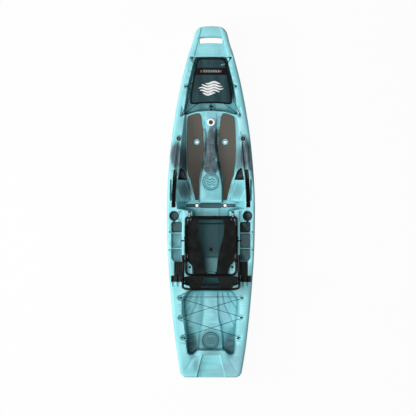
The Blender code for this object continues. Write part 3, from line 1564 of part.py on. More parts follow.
def make_back_sling(finish):
    """Back sling, drawn in at its upper corners. Rows are (share of height, half width)."""
    edge = strap_x() - STRAP_THICKNESS / 2 - TOUCH
    low = 0.04
    high = BACK_HEIGHT - TUBE - TOUCH
    shape = (
        (0.0, edge - 0.075), (0.06, edge - 0.05), (0.14, edge - 0.012), (0.24, edge), (0.5, edge),
        (0.66, edge - 0.004), (0.78, edge - 0.03), (0.9, edge - 0.055), (1.0, edge - 0.062),
    )
    rows = []
    for along, half in shape:
        row = []
        for k in range(9):
            s = -1 + k / 4
            sag = -SLING_SAG * (1 - s * s) * math.sin(math.pi * along)
            row.append(back_point(low + (high - low) * along, half * s, sag))
        rows.append(row)
    normal = (0, math.cos(LEAN), math.sin(LEAN))
    return hang(sheet("back_sling", rows, SLING_THICKNESS, normal, finish), BACK_AXIS)


def make_seat_bracket(side, finish):
    """Block on the deck with an eye that the seat's front bar turns in."""
    bore = TUBE + 0.0008
    outer = bore + BRACKET_WALL
    base = DECK_HEIGHT + FIT
    rise = 0.006
    front = SEAT_FRONT + BRACKET_LENGTH - outer
    outline = [(SEAT_FRONT - outer, base), (front, base), (front, base + rise),
               (SEAT_FRONT + outer * 1.3, base + rise + 0.004)]
    for k in range(8):
        angle = math.radians(10 + 170 * k / 7)
        outline.append((SEAT_FRONT + outer * math.cos(angle), SEAT_LEVEL + outer * math.sin(angle)))
    name = f"seat_bracket_{side_name(side)}"
    middle = SEAT_WIDTH / 2 - BRACKET_INSET
    low = middle - BRACKET_WIDTH / 2
    high = middle + BRACKET_WIDTH / 2
    rings = [[(side * x, y, z) for y, z in outline] for x in (low, high)]
    bracket = link(name, loft(name, rings), finish)
    cut = f"bracket_bore_{side_name(side)}"
    change(bracket, "DIFFERENCE",
           [tool(cut, drum(cut, bore, (side * (low - 0.02), SEAT_FRONT, SEAT_LEVEL),
                           (side * (high + 0.02), SEAT_FRONT, SEAT_LEVEL), 16))])
    return [bracket]


def make_seat_feet(side, finish):
    """Cradles under the side tube. Their outer cheek reaches past the tube."""
    feet = []
    center = SEAT_WIDTH / 2
    radius = TUBE + FIT * 2
    base = DECK_HEIGHT + FIT
    for row, place, width in FOOT_PLACES:
        start = math.acos(min((width / 2 - 0.001) / radius, 0.97))
        cheek = SEAT_LEVEL - radius * math.sin(start) - 0.001
        outline = [(center - width / 2, base), (center + width / 2, base), (center + width / 2, cheek)]
        for k in range(7):
            angle = -start - (math.pi - 2 * start) * k / 6
            outline.append((center + radius * math.cos(angle), SEAT_LEVEL + radius * math.sin(angle)))
        outline.append((center - width / 2, cheek))
        name = f"seat_foot_{row}_{side_name(side)}"
        rings = []
        for y in (place - FOOT_LENGTH / 2, place + FOOT_LENGTH / 2):
            rings.append([(side * x, y, z) for x, z in outline])
        feet.append(link(name, loft(name, rings), finish))
    return feet


def strap_x():
    """Middle of the gap between the seat's tube and the back's leg."""
    return SEAT_WIDTH / 2 + TUBE + BACK_SIDE_GAP / 2


def make_strap(side, finish):
    """Flat webbing from the seat's side tube up to the back's leg."""
    x = strap_x()
    along = STRAP_HEIGHT * BACK_HEIGHT
    start = Vector((STRAP_FOOT_PLACE, SEAT_LEVEL + TUBE * 0.2))
    end = Vector(back_point(along, 0.0, 0.004)[1:])
    direction = (end - start).normalized()
    across = Vector((-direction.y, direction.x)) * STRAP_WIDTH / 2
    rings = []
    for point in (start, end):
        ring = []
        for wide, thick in ((-1, -1), (1, -1), (1, 1), (-1, 1)):
            spot = point + across * wide
            ring.append((side * (x + thick * STRAP_THICKNESS / 2), spot.x, spot.y))
        rings.append(ring)
    name = f"recline_strap_{side_name(side)}"
    return [hang(link(name, loft(name, rings), finish), SEAT_AXIS)]


# Plugs and drain

def make_floor_plug(ring_finish, plug_finish):
    level = FLOOR_HEIGHT + PANEL_RISE + FIT
    outer = FLOOR_RING_DIAMETER / 2
    bore = FLOOR_RING_BORE / 2
    tall = FLOOR_RING_HEIGHT
    profile = [(bore, 0.0), (outer, 0.0), (outer - 0.002, tall), (bore, tall)]
    place = (0.0, FLOOR_PLUG_PLACE, level)
    link("floor_plug_ring", turned("floor_plug_ring", profile, place, sides=20), ring_finish)
    plug = bore - FIT
    profile = [(0.0, 0.0), (plug, 0.0), (plug, tall * 0.8), (plug - 0.002, tall * 1.1),
               (0.005, tall * 1.1), (0.004, tall * 0.6), (0.0, tall * 0.6)]
    link("floor_plug", turned("floor_plug", profile, place, sides=16), plug_finish)


def make_scupper_plug(side, finish):
    x, y = DISH_PLACE
    stem = PLUG_DIAMETER / 2
    head = PLUG_HEAD / 2
    profile = [(0.0, -PLUG_DEPTH), (stem - 0.002, -PLUG_DEPTH), (stem, -PLUG_DEPTH + 0.004),
               (stem, FIT), (head, FIT), (head - 0.001, 0.004), (0.0, 0.0055)]
    name = f"scupper_plug_{side_name(side)}"
    return [link(name, turned(name, profile, (side * x, y, DECK_HEIGHT - DISH_DEPTH), sides=12), finish)]


def make_drain(finish, plug_finish):
    """Flanged socket in the transom and the plug that closes it."""
    seat = STERN + DRAIN_SEAT
    flange = DRAIN_FLANGE / 2
    bore = DRAIN_BORE / 2
    outer = bore + CUP_WALL / 2
    thick = 0.003
    profile = [(bore, thick + FIT), (flange, thick + FIT), (flange, FIT), (outer, FIT),
               (outer, -DRAIN_DEPTH + 0.002), (bore, -DRAIN_DEPTH + 0.002)]
    axis = (0, -1, 0)
    place = (0.0, seat, DRAIN_HEIGHT)
    link("drain_plug_socket", turned("drain_plug_socket", profile, place, axis, 16), finish)
    stem = bore - FIT
    top = thick + 2 * FIT
    head = flange - 0.005
    profile = [(0.0, -DRAIN_DEPTH + 0.006), (stem, -DRAIN_DEPTH + 0.006), (stem, top), (head, top),
               (head, top + 0.003), (head - 0.0015, top + 0.0045), (0.0, top + 0.0045)]
    plug = link("drain_plug", turned("drain_plug", profile, place, axis, 16), plug_finish)
    face = seat - top - 0.0045
    half_slot = 0.0015
    outline = [(-head * 0.8, face - 0.01), (head * 0.8, face - 0.01), (head * 0.8, face + 0.002),
               (-head * 0.8, face + 0.002)]
    cut = tool("drain_coin_slot",
               block("drain_coin_slot", outline, DRAIN_HEIGHT - half_slot, DRAIN_HEIGHT + half_slot))
    change(plug, "DIFFERENCE", [cut])


# Side carry handles

def handle_axis():
    """X and Z of a handle's pivot line, on the right-hand side."""
    return recess_face() + HANDLE_GRIP / 2 + 0.001, HANDLE_PIVOT_HEIGHT


def make_carry_handle(side, saddle_finish, grip_finish):
    x, z = handle_axis()
    face = recess_face() + FIT
    wire = HANDLE_WIRE / 2
    name = side_name(side)
    for row, direction in (("front", 1), ("rear", -1)):
        y = HANDLE_PLACE + direction * SADDLE_SPACING / 2
        half = SADDLE_HEIGHT / 2
        nose = face + SADDLE_DEPTH
        outline = [(face, z - half), (nose - 0.006, z - half * 0.7), (nose, z - half * 0.3),
                   (nose, z + half * 0.3), (nose - 0.006, z + half * 0.7), (face, z + half)]
        rings = []
        for along in (y - SADDLE_LENGTH / 2, y + SADDLE_LENGTH / 2):
            rings.append([(side * a, along, b) for a, b in outline])
        label = f"carry_saddle_{name}_{row}"
        saddle = link(label, loft(label, rings), saddle_finish)
        hole = f"saddle_hole_{name}_{row}"
        inner = y - direction * (SADDLE_LENGTH / 2 + 0.01)
        outer = y + direction * (SADDLE_LENGTH / 2 - 0.003)
        change(saddle, "DIFFERENCE",
               [tool(hole, drum(hole, wire + 0.0006, (side * x, inner, z), (side * x, outer, z), 12))])
    reach = SADDLE_SPACING / 2 + SADDLE_LENGTH / 2 - 0.005
    arm = SADDLE_SPACING / 2 - SADDLE_LENGTH / 2 - 0.006
    points = [
        (side * x, HANDLE_PLACE - reach, z), (side * x, HANDLE_PLACE - arm, z),
        (side * x, HANDLE_PLACE - arm, z - HANDLE_ARM), (side * x, HANDLE_PLACE + arm, z - HANDLE_ARM),
        (side * x, HANDLE_PLACE + arm, z), (side * x, HANDLE_PLACE + reach, z),
    ]
    bail = link(f"carry_handle_{name}", sweep("bail", bend(points, 0.006, 2), wire, 8), grip_finish)
    grip = HANDLE_GRIP / 2
    half = HANDLE_GRIP_LENGTH / 2
    profile = [(0.0, -half), (grip * 0.75, -half), (grip, -half + 0.008), (grip * 0.9, 0.0),
               (grip, half - 0.008), (grip * 0.75, half), (0.0, half)]
    label = f"grip_{name}"
    change(bail, "UNION",
           [tool(label, turned(label, profile, (side * x, HANDLE_PLACE, z - HANDLE_ARM), (0, 1, 0), 12))])
    return [hang(bail, (side * x, HANDLE_PLACE, z))]


def build():
    clear_scene()
    plastic = material("hull_polyethylene", (122, 196, 207), 0.42)
    foam = material("foot_pad_foam", (91, 89, 84), 0.9)
    mesh_cloth = material("cover_mesh", (44, 72, 78), 0.85)
    shock = material("shock_cord", (52, 62, 68), 0.8)
    black = material("black_nylon", (28, 30, 29), 0.5)
    white = material("white_nylon", (250, 252, 252), 0.45)
    brass = material("brass_insert", (150, 118, 84), 0.35, 1.0)
    rubber = material("black_rubber", (24, 26, 25), 0.8)
    tube_paint = material("frame_tube_black", (26, 27, 26), 0.35, 0.9)
    sling_cloth = material("sling_cloth", (30, 33, 32), 0.85)
    webbing = material("webbing", (24, 26, 26), 0.85)
    steel = material("bolt_steel", (150, 150, 148), 0.3, 1.0)
    tan = material("tan_nylon", (110, 98, 84), 0.6)

    make_hull(plastic)
    both(lambda side: make_foot_pad(side, foam))
    make_bow_cover(mesh_cloth)
    make_bow_cord(shock)
    make_stern_cord(shock)
    make_hooks(black)
    make_cord_lock(black, black)
    make_mounts(black, brass, white)
    both(lambda side: make_trough(side, rubber))
    both(lambda side: make_rod_pad(side, rubber))
    both(lambda side: make_rod_rest(side, black))
    make_seat_frame(tube_paint)
    make_back_frame(tube_paint)
    both(lambda side: make_pivot_bolt(side, steel))
    make_seat_sling(sling_cloth)
    make_back_sling(sling_cloth)
    both(lambda side: make_seat_bracket(side, black))
    both(lambda side: make_seat_feet(side, black))
    both(lambda side: make_strap(side, webbing))
    make_floor_plug(tan, rubber)
    both(lambda side: make_scupper_plug(side, rubber))
    make_drain(black, black)
    both(lambda side: make_carry_handle(side, black, rubber))


build()
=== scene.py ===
"""Looks of the fishing kayak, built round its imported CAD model.

Metres, in the CAD's frame: +Y is the bow, +X the right-hand side, +Z up. A shape is worked
out as whole arrays over a grid of two parameters, or as a profile carried along a path.
"""

import math

import bpy
import numpy as np
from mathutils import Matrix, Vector


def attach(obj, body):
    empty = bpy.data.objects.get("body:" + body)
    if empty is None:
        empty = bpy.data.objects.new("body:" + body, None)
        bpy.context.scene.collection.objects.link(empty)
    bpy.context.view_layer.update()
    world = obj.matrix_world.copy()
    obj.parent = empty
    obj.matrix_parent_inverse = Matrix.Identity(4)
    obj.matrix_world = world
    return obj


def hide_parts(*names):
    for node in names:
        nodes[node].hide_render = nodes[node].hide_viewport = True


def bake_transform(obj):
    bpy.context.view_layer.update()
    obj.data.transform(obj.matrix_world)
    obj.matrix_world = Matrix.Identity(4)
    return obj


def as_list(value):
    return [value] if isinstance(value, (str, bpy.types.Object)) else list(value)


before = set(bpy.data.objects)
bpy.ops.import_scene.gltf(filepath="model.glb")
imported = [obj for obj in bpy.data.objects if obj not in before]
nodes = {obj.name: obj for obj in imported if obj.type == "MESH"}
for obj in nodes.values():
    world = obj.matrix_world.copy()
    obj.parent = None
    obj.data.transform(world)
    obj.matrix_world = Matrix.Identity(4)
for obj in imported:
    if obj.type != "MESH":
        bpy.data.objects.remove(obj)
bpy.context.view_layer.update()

UP = (0.0, 0.0, 1.0)
BOTH = (("left", -1), ("right", 1))

# Hull
BOW = 1.755
HALF_BEAM = 0.44
ROLL_HEIGHT = 0.026
END_EDGE = 0.02
NOSE_CORNER = 0.06
TRANSOM_CORNER = 0.055
BEAM_SHAPE = (
    (-1.0, 0.678), (-0.9, 0.746), (-0.8, 0.805), (-0.58, 0.898), (-0.31, 0.977),
    (-0.07, 1.0), (0.08, 0.989), (0.33, 0.909), (0.49, 0.818), (0.67, 0.682),
    (0.81, 0.542), (0.9, 0.441), (1.0, 0.334),
)
FULLNESS = (
    (-1.0, 0.80), (-0.55, 1.0), (0.1, 1.0), (0.6, 0.75), (0.8, 0.72), (0.92, 0.93), (1.0, 1.0),
)
INNER_WIDTH = 0.29
# Cockpit: y, rim, wall foot, floor, spine half width, spine foot, spine height.
COCKPIT = (
    (0.93, 0.245, 0.235, 0.292, 0.05, 0.06, 0.2925),
    (0.86, 0.262, 0.250, 0.272, 0.05, 0.06, 0.2765),
    (0.80, 0.272, 0.250, 0.254, 0.048, 0.062, 0.275),
    (0.711, 0.285, 0.250, 0.228, 0.036, 0.056, 0.272),
    (0.604, 0.297, 0.251, 0.202, 0.036, 0.056, 0.256),
    (0.521, 0.305, 0.251, 0.183, 0.043, 0.062, 0.242),
    (0.441, 0.308, 0.250, 0.168, 0.055, 0.072, 0.227),
    (0.351, 0.312, 0.247, 0.151, 0.073, 0.089, 0.205),
    (0.271, 0.316, 0.238, 0.138, 0.088, 0.104, 0.180),
    (0.231, 0.318, 0.232, 0.132, 0.096, 0.110, 0.172),
    (0.222, 0.343, 0.226, 0.131, 0.097, 0.111, 0.170),
    (0.151, 0.345, 0.212, 0.123, 0.105, 0.117, 0.158),
    (0.021, 0.347, 0.195, 0.115, 0.106, 0.117, 0.148),
    (-0.004, 0.347, 0.255, 0.115, 0.106, 0.115, 0.145),
    (-0.008, 0.347, 0.258, 0.115, 0.106, 0.115, 0.121),
    (-0.064, 0.340, 0.258, 0.115, 0.075, 0.085, 0.121),
    (-0.092, 0.190, 0.178, 0.115, 0.075, 0.085, 0.121),
    (-0.542, 0.190, 0.178, 0.115, 0.075, 0.085, 0.121),
    (-0.562, 0.190, 0.178, 0.150, 0.065, 0.075, 0.156),
    (-0.77, 0.180, 0.168, 0.150, 0.065, 0.075, 0.156),
    (-0.80, 0.170, 0.140, 0.210, 0.065, 0.075, 0.216),
)
# Tank well: y, rim, wall foot, side floor, centre half width, centre foot, centre height.
TANK = (
    (-0.862, 0.200, 0.170, 0.260, 0.050, 0.055, 0.260),
    (-0.897, 0.245, 0.210, 0.177, 0.058, 0.064, 0.181),
    (-0.937, 0.275, 0.240, 0.171, 0.060, 0.067, 0.177),
    (-0.98, 0.292, 0.265, 0.165, 0.062, 0.069, 0.173),
    (-1.109, 0.292, 0.262, 0.153, 0.070, 0.078, 0.169),
    (-1.194, 0.274, 0.248, 0.143, 0.080, 0.090, 0.167),
    (-1.27, 0.264, 0.240, 0.132, 0.094, 0.108, 0.165),
    (-1.359, 0.254, 0.233, 0.113, 0.108, 0.126, 0.163),
    (-1.479, 0.240, 0.222, 0.105, 0.112, 0.134, 0.161),
    (-1.489, 0.238, 0.221, 0.105, 0.134, 0.151, 0.455),
    (-1.512, 0.234, 0.218, 0.109, 0.165, 0.178, 0.455),
)
# Edge of the fan-shaped floor steps in the tank well: y and distance from the middle
TANK_STEPS = (
    ((-0.886, 0.063), (-1.135, 0.069), (-1.301, 0.108)),
    ((-0.886, 0.101), (-1.039, 0.133), (-1.256, 0.236), (-1.30, 0.26)),
    ((-0.886, 0.152), (-0.957, 0.178), (-1.09, 0.262)),
    ((-0.886, 0.19), (-0.931, 0.248)),
)
WELL_FRONT = 1.452
WELL_AFT = 0.917
WELL_FLOOR = 0.165
SLOT = (0.113, 1.586, 1.651)
SLOT_CORNER = 0.01
SCUPPERS = ((0.142, 0.604), (0.142, -0.034))
SCUPPER_RADIUS = 0.0155
BOSS = (0.0, 0.799)
TROUGH_FRONT = 0.311
TROUGH_AFT = -0.049
TROUGH_INSET = 0.0665
RIDGE_INSET = 0.068
HOOKS = {
    "bow_hook_front": (0.186, 1.436, 0.56), "bow_hook_mid": (0.2395, 1.156, 0.0),
    "bow_hook_rear": (0.283, 0.876, -1.3), "stern_hook_front": (0.3, -0.957, 0.0),
    "stern_hook_mid": (0.297, -1.156, 0.0), "stern_hook_rear": (0.27, -1.355, 0.0),
}
HANDLE_PLACE = -0.388
HANDLE_SPACING = 0.18
DRAIN = (0.2, 0.0183, 0.012)
DISCS = (0.204, -1.393)
WAVE_SPACING = 0.026
WAVE_HEIGHT = 0.007
WAVE_LENGTH = 0.045

# Soft pieces and fittings
CORD = 0.005
HOOK_BASE = 0.003
HOOK_WIDTH = 0.010
TOUCH = 0.0005
FIT = 0.0003
CROSSING_LIFT = 0.004
COVER_EDGE = (
    (1.438, 0.118), (1.430, 0.134), (1.415, 0.144), (1.37, 0.152), (1.27, 0.171),
    (1.17, 0.190), (1.08, 0.204), (1.02, 0.210), (0.992, 0.210), (0.978, 0.196),
)
COVER_AFT = 0.978
COVER_LENGTH = 0.46
COVER_ARCH = 0.022
COVER_DROP = 0.004
COVER_CROWN = 0.008
BAND_PLACE = 1.306
# Printed waves: sideways shift, length and place
COVER_WAVES = (
    (0.020, 0.15, 1.190), (0.010, 0.21, 1.163), (0.0, 0.25, 1.136), (-0.012, 0.20, 1.109),
    (-0.020, 0.13, 1.082),
)
CORD_GAP = 0.0008
LOCK_PLACE = 0.955
STRAND_SPACING = 0.006
PAD_OUTLINE = (
    (0.889, 0.122, 0.150), (0.872, 0.108, 0.205), (0.855, 0.098, 0.232), (0.815, 0.094, 0.239),
    (0.711, 0.082, 0.243), (0.604, 0.075, 0.246), (0.521, 0.072, 0.246), (0.441, 0.082, 0.245),
    (0.351, 0.100, 0.239), (0.271, 0.114, 0.229), (0.231, 0.119, 0.212), (0.222, 0.120, 0.208),
    (0.151, 0.123, 0.188), (0.021, 0.124, 0.158),
)
PAD_THICKNESS = 0.007
PAD_HOLE = 0.0298
ROD_PAD = (0.2765, 0.3665, -0.7345, -0.592)
RIB_SPACING = 0.018
DIMPLE_SPACING = 0.03
SEAT_LEVEL = 0.3305
SEAT_FRONT = -0.152
SEAT_REAR = -0.729
SEAT_HALF = 0.251
TUBE = 0.0125
SLEEVE_RADIUS = 0.0139
BACK_X = 0.279
BACK_ELBOW = (-0.725, 0.3605)
BACK_HEIGHT = 0.38
BACK_CLOTH_LOW = 0.04
LEAN = math.radians(20.0)
PIVOT = -0.542
SLING_SAG = 0.02
SLING_THICKNESS = 0.002
# Net windows of the slings: strips of place and half width
SEAT_WINDOWS = (
    ((-0.179, 0.122), (-0.211, 0.122)),
    ((-0.221, 0.13), (-0.318, 0.126), (-0.379, 0.111), (-0.427, 0.098), (-0.50, 0.08),
     (-0.555, 0.071), (-0.615, 0.063), (-0.699, 0.054)),
)
BACK_WINDOWS = (
    ((0.075, 0.062), (0.40, 0.091)),
    ((0.69, 0.09), (0.90, 0.09)),
)
# Half width of the back's cloth by its share of the height
BACK_SHAPE = (
    (0.0, 0.222), (0.03, 0.246), (0.06, 0.258), (0.1, 0.2636), (0.44, 0.2636), (0.49, 0.260),
    (0.54, 0.250), (0.6, 0.240), (0.7, 0.226), (0.82, 0.213), (0.92, 0.205), (1.0, 0.2),
)

# Resolution of the hull's grid and of its map of heights
ROW_STEP = 0.0042
INNER_COLUMNS = 60
OUTER_COLUMNS = 46
EDGE_COLUMNS = 8
WALL_SPREAD = 0.0032
KEPT_SHARE = 0.26
# Angles in degrees above which an edge is sharp
PIECE_SHARP = 42
HULL_SHARP = 50
MAP_STEP = 0.005
MAP_HALF = (0.46, 1.78)


# Curves and steps

def spots(*parts):
    """Points from their coordinates, stretched to one shape."""
    return np.stack(np.broadcast_arrays(*parts), axis=-1)


def unit(vectors):
    return vectors / np.linalg.norm(vectors, axis=-1, keepdims=True)


def running(path):
    """Distance along a path at each of its points."""
    return np.concatenate([[0], np.cumsum(np.linalg.norm(np.diff(path, axis=0), axis=1))])


def turn_of(count):
    """Even angles round a full turn."""
    return 2 * math.pi * np.arange(count) / count


def arc(low, high, count, center, radius):
    """Points of an arc between two angles in degrees."""
    angle = np.radians(np.linspace(low, high, count))
    return spots(center[0] + radius * np.cos(angle), center[1] + radius * np.sin(angle))


def packed_ends(low, length, count):
    """Places along a length, packed towards both ends by a cosine."""
    return low + length * (1 - np.cos(np.linspace(0, math.pi, count))) / 2


def through(table, place):
    """Cubic through a table's points, each slope taken from the two neighbours."""
    at, value = (np.array(column, float) for column in zip(*table))
    place = np.clip(place, at[0], at[-1])
    k = np.clip(np.searchsorted(at, place, side="right") - 1, 0, len(at) - 2)
    low = np.maximum(np.arange(len(at)) - 1, 0)
    high = np.minimum(np.arange(len(at)) + 1, len(at) - 1)
    slope = (value[high] - value[low]) / (at[high] - at[low])
    span = at[k + 1] - at[k]
    s = (place - at[k]) / span
    return (
        (2 * s**3 - 3 * s**2 + 1) * value[k] + (s**3 - 2 * s**2 + s) * span * slope[k]
        + (3 * s**2 - 2 * s**3) * value[k + 1] + (s**3 - s**2) * span * slope[k + 1]
    )


def straight(table, column, place):
    """Straight lines between a table's points, by one of its columns."""
    rows = sorted(table)
    return np.interp(place, [row[0] for row in rows], [row[column] for row in rows])


def ease(t):
    """0 below 0, 1 above 1, and 3t^2 - 2t^3 between."""
    t = np.clip(t, 0.0, 1.0)
    return t * t * (3 - 2 * t)


def hump(distance, half):
    """1 at no distance, falling to 0 at the half width."""
    return ease(1 - np.abs(distance) / half)


def softer_low(a, b, k):
    """The lower of two heights, with the crease between them rounded over k."""
    h = np.clip(0.5 + 0.5 * (b - a) / k, 0.0, 1.0)
    return b * (1 - h) + a * h - k * h * (1 - h)


def round_corner(distance, radius):
    """How far a round corner has drawn in at a distance from its end."""
    inside = np.clip(radius - distance, 0.0, radius)
    return radius - np.sqrt(radius**2 - inside**2)


def both_ends(y, radius, aft_radius=None):
    """How far the corners at the hull's two ends have drawn in."""
    return round_corner(BOW - y, radius), round_corner(y + BOW, aft_radius or radius)


def half_beam(y):
    return HALF_BEAM * through(BEAM_SHAPE, np.asarray(y) / BOW)


def inboard(inset, y):
    """Place at an inset from the hull's side."""
    return float(half_beam(y)) - inset, y


def deck(y):
    """Deck height: level amidships, up by a 1.6 power to the bow, down by a square aft."""
    t = np.asarray(y) / BOW
    bow = np.maximum(t - 0.1, 0.0) / 0.9
    stern = np.maximum(-t - 0.5, 0.0) / 0.5
    return 0.31 + 0.045 * bow**1.6 - 0.01 * stern**2


def keel(y):
    """Keel height: flat amidships, a square rise to the bow and a 1.5 power rise aft."""
    t = np.asarray(y) / BOW
    bow = np.maximum(t - 0.5, 0.0) / 0.5
    stern = np.maximum(-t - 0.68, 0.0) / 0.32
    return 0.23 * bow**2 + 0.10 * stern**1.5


def roll_width(y):
    """Width of the gunwale's roll, narrower beside the troughs and the trays."""
    return 0.034 - 0.015 * ease((0.36 - y) / 0.08) * ease((y + 0.66) / 0.06)


def rolled(distance, y):
    """How far the gunwale has dropped at a distance in from the side: an elliptic quarter."""
    wide = roll_width(y)
    inside = np.clip(wide - distance, 0.0, wide) / wide
    return ROLL_HEIGHT * (1 - np.sqrt(1 - inside**2))


def hull_edge(y):
    """Half width with the nose's and the transom's corners rounded off."""
    nose, transom = both_ends(y, NOSE_CORNER, TRANSOM_CORNER)
    return half_beam(y) - nose - transom


def deck_level(y):
    """Deck height with both ends rounded over."""
    nose, transom = both_ends(y, END_EDGE)
    return deck(y) - nose - transom


def fullness(y, edge):
    """Share of the full width that the sections have below the gunwale."""
    return through(FULLNESS, y / BOW) * edge / HALF_BEAM


MOUNT = inboard(0.072, 0.635)
HOLDER = inboard(0.074, -0.138)


def corners_rounded(corners, steps=4):
    """Outline whose corners (x, y, radius) are arcs."""
    outline = []
    for i, (x, y, radius) in enumerate(corners):
        here = np.array((x, y))
        if radius <= 0:
            outline.append(here)
            continue
        before, after = (unit(np.array(corners[k % len(corners)][:2]) - here) for k in (i - 1, i + 1))
        half = math.acos(np.clip(before @ after, -1, 1)) / 2
        middle = here + unit(before + after) * radius / math.sin(half)
        start, end = (here + side * radius / math.tan(half) - middle for side in (before, after))
        first = math.atan2(start[1], start[0])
        turn = (math.atan2(end[1], end[0]) - first + math.pi) % (2 * math.pi) - math.pi
        for k in range(steps + 1):
            angle = first + turn * k / steps
            outline.append(middle + radius * np.array((math.cos(angle), math.sin(angle))))
    return np.array(outline)


def gap_to(outline, x, y):
    """Distance of points from a closed outline, negative inside it."""
    nearest = np.full(np.shape(x), np.inf)
    inside = np.zeros(np.shape(x), bool)
    for a, b in zip(outline, np.roll(outline, -1, axis=0)):
        edge = b - a
        along = np.clip(((x - a[0]) * edge[0] + (y - a[1]) * edge[1]) / (edge @ edge), 0, 1)
        off = (x - a[0] - along * edge[0]) ** 2 + (y - a[1] - along * edge[1]) ** 2
        nearest = np.minimum(nearest, off)
        crosses = (a[1] > y) != (b[1] > y)
        rise = edge[1] if edge[1] else 1.0
        inside ^= crosses & (x < edge[0] * (y - a[1]) / rise + a[0])
    return np.where(inside, -1, 1) * np.sqrt(nearest)


def gap_to_box(x, y, low_x, high_x, low_y, high_y, radius=0.0):
    """Distance of points from a rectangle with round corners, negative inside it."""
    off_x = np.abs(x - (low_x + high_x) / 2) - (high_x - low_x) / 2 + radius
    off_y = np.abs(y - (low_y + high_y) / 2) - (high_y - low_y) / 2 + radius
    outside = np.hypot(np.maximum(off_x, 0), np.maximum(off_y, 0))
    return outside + np.minimum(np.maximum(off_x, off_y), 0) - radius


def gap_to_ring(x, y, center, radius):
    return np.hypot(x - center[0], y - center[1]) - radius


def gap_to_strip(off, half, y, aft, fore):
    """How far points lie outside a strip along Y, by the largest of the distances."""
    return np.maximum(np.abs(off) - half, np.maximum(y - fore, aft - y))


def sink(z, gap, floor, wall):
    """Heights drawn down to a floor inside an outline, eased over the wall's width."""
    return np.minimum(z, z + (floor - z) * ease(-gap / wall))


def lift(z, gap, top, wall):
    """Heights raised to a top inside an outline, eased over the wall's width."""
    return np.maximum(z, z + (top - z) * ease(-gap / wall))


# Meshes

# Neighbour of a cell, and the two corners of the side between them
CELL_SIDES = (
    (0, -1, (0, 0), (1, 0)), (0, 1, (1, 1), (0, 1)), (-1, 0, (0, 1), (0, 0)), (1, 0, (1, 0), (1, 1)),
)


def cells(index):
    """Four corners of each cell of a grid, anticlockwise with columns along X and rows along Y."""
    return np.stack([index[:-1, :-1], index[:-1, 1:], index[1:, 1:], index[1:, :-1]], axis=-1)


def walls(top, under, closed, around):
    """Faces from the top grid down to the one under it, where a closed cell meets an open one."""
    padded = np.pad(closed, 1, constant_values=not around)
    faces = []
    for di, dj, a, b in CELL_SIDES:
        beside = padded[1 + di:padded.shape[0] - 1 + di, 1 + dj:padded.shape[1] - 1 + dj]
        row, column = np.nonzero(closed & ~beside)
        first, second = ((row + corner[0], column + corner[1]) for corner in (a, b))
        faces.append(np.stack([top[first], top[second], under[second], under[first]], axis=-1))
    return faces


def slab(top, under, holes=None):
    """Closed skin between two grids of points, with walls round its edge and its holes."""
    index = np.arange(top.shape[0] * top.shape[1]).reshape(top.shape[:2])
    closed = np.ones((top.shape[0] - 1, top.shape[1] - 1), bool) if holes is None else ~holes
    below = index + index.size
    faces = [cells(index)[closed], cells(below)[closed][:, ::-1]] + walls(index, below, closed, True)
    return np.concatenate([top.reshape(-1, 3), under.reshape(-1, 3)]), faces


def thick(points, thickness):
    """Slab of an even thickness round a grid's middle surface."""
    half = unit(np.cross(np.gradient(points, axis=1), np.gradient(points, axis=0))) * thickness / 2
    return slab(points + half, points - half)


def swept(path, profile, closed=False, up=UP, scale=1.0):
    """Profile carried along a path, with the share round it and the length as its UV.

    A ring is the path's point + (across * side + rise * height) * scale, where across is
    tangent x up and rise is across x tangent.
    """
    path = np.asarray(path, float)
    if closed:
        tangent = np.roll(path, -1, axis=0) - np.roll(path, 1, axis=0)
    else:
        tangent = np.gradient(path, axis=0)
    tangent = unit(tangent)
    across = unit(np.cross(tangent, up))
    rise = np.cross(across, tangent)
    size = scale * np.ones(len(path))
    spread = across[:, None] * profile[None, :, :1] + rise[:, None] * profile[None, :, 1:]
    rings = path[:, None] + spread * size[:, None, None]
    count, sides = len(path), len(profile)
    run = running(np.concatenate([path, path[:1]]))
    i = np.arange(count if closed else count - 1)[:, None]
    j = np.arange(sides)[None]
    corners = [(i + a, j + b) for a, b in ((0, 0), (1, 0), (1, 1), (0, 1))]
    faces = [np.stack([(a % count) * sides + b % sides for a, b in corners], axis=-1).reshape(-1, 4)]
    uvs = [np.stack([spots(b / sides, run[a]) for a, b in corners], axis=2).reshape(-1, 4, 2)]
    verts = rings.reshape(-1, 3)
    if not closed:
        ends = np.arange(sides)
        after = np.roll(ends, -1)
        middle = np.full(sides, len(verts))
        last = (count - 1) * sides
        faces.append(np.stack([middle, ends, after], axis=-1))
        faces.append(np.stack([middle + 1, last + after, last + ends], axis=-1))
        verts = np.concatenate([verts, rings[[0, -1]].mean(axis=1)])
        uvs += [np.zeros((sides, 3, 2))] * 2
    return verts, faces, uvs


def circle(radius, sides=8, squeeze=1.0):
    angle = turn_of(sides)
    return spots(np.cos(angle) * radius, np.sin(angle) * radius * squeeze)


def flat_profile(width, thickness, sides=16, power=(0.35, 0.6)):
    """Flat strap's section with round edges: a circle's sides and heights by two powers."""
    angle = turn_of(sides)
    side, rise = (np.sign(wave) * np.abs(wave) ** p for wave, p in zip((np.cos(angle), np.sin(angle)), power))
    return spots(side * width / 2, rise * thickness / 2)


SLEEVE = circle(SLEEVE_RADIUS, 20)


def tube(path, radius, up=UP):
    """Round tube along a path, with half-ball ends."""
    path = np.asarray(path, float)
    angle = np.radians((85, 65, 40, 15))
    first, last = (unit(step) * radius for step in (path[0] - path[1], path[-1] - path[-2]))
    start = path[0] + np.sin(angle)[:, None] * first
    end = (path[-1] + np.sin(angle)[:, None] * last)[::-1]
    scale = np.concatenate([np.cos(angle), np.ones(len(path)), np.cos(angle)[::-1]])
    return swept(np.concatenate([start, path, end]), circle(radius), up=up, scale=scale)


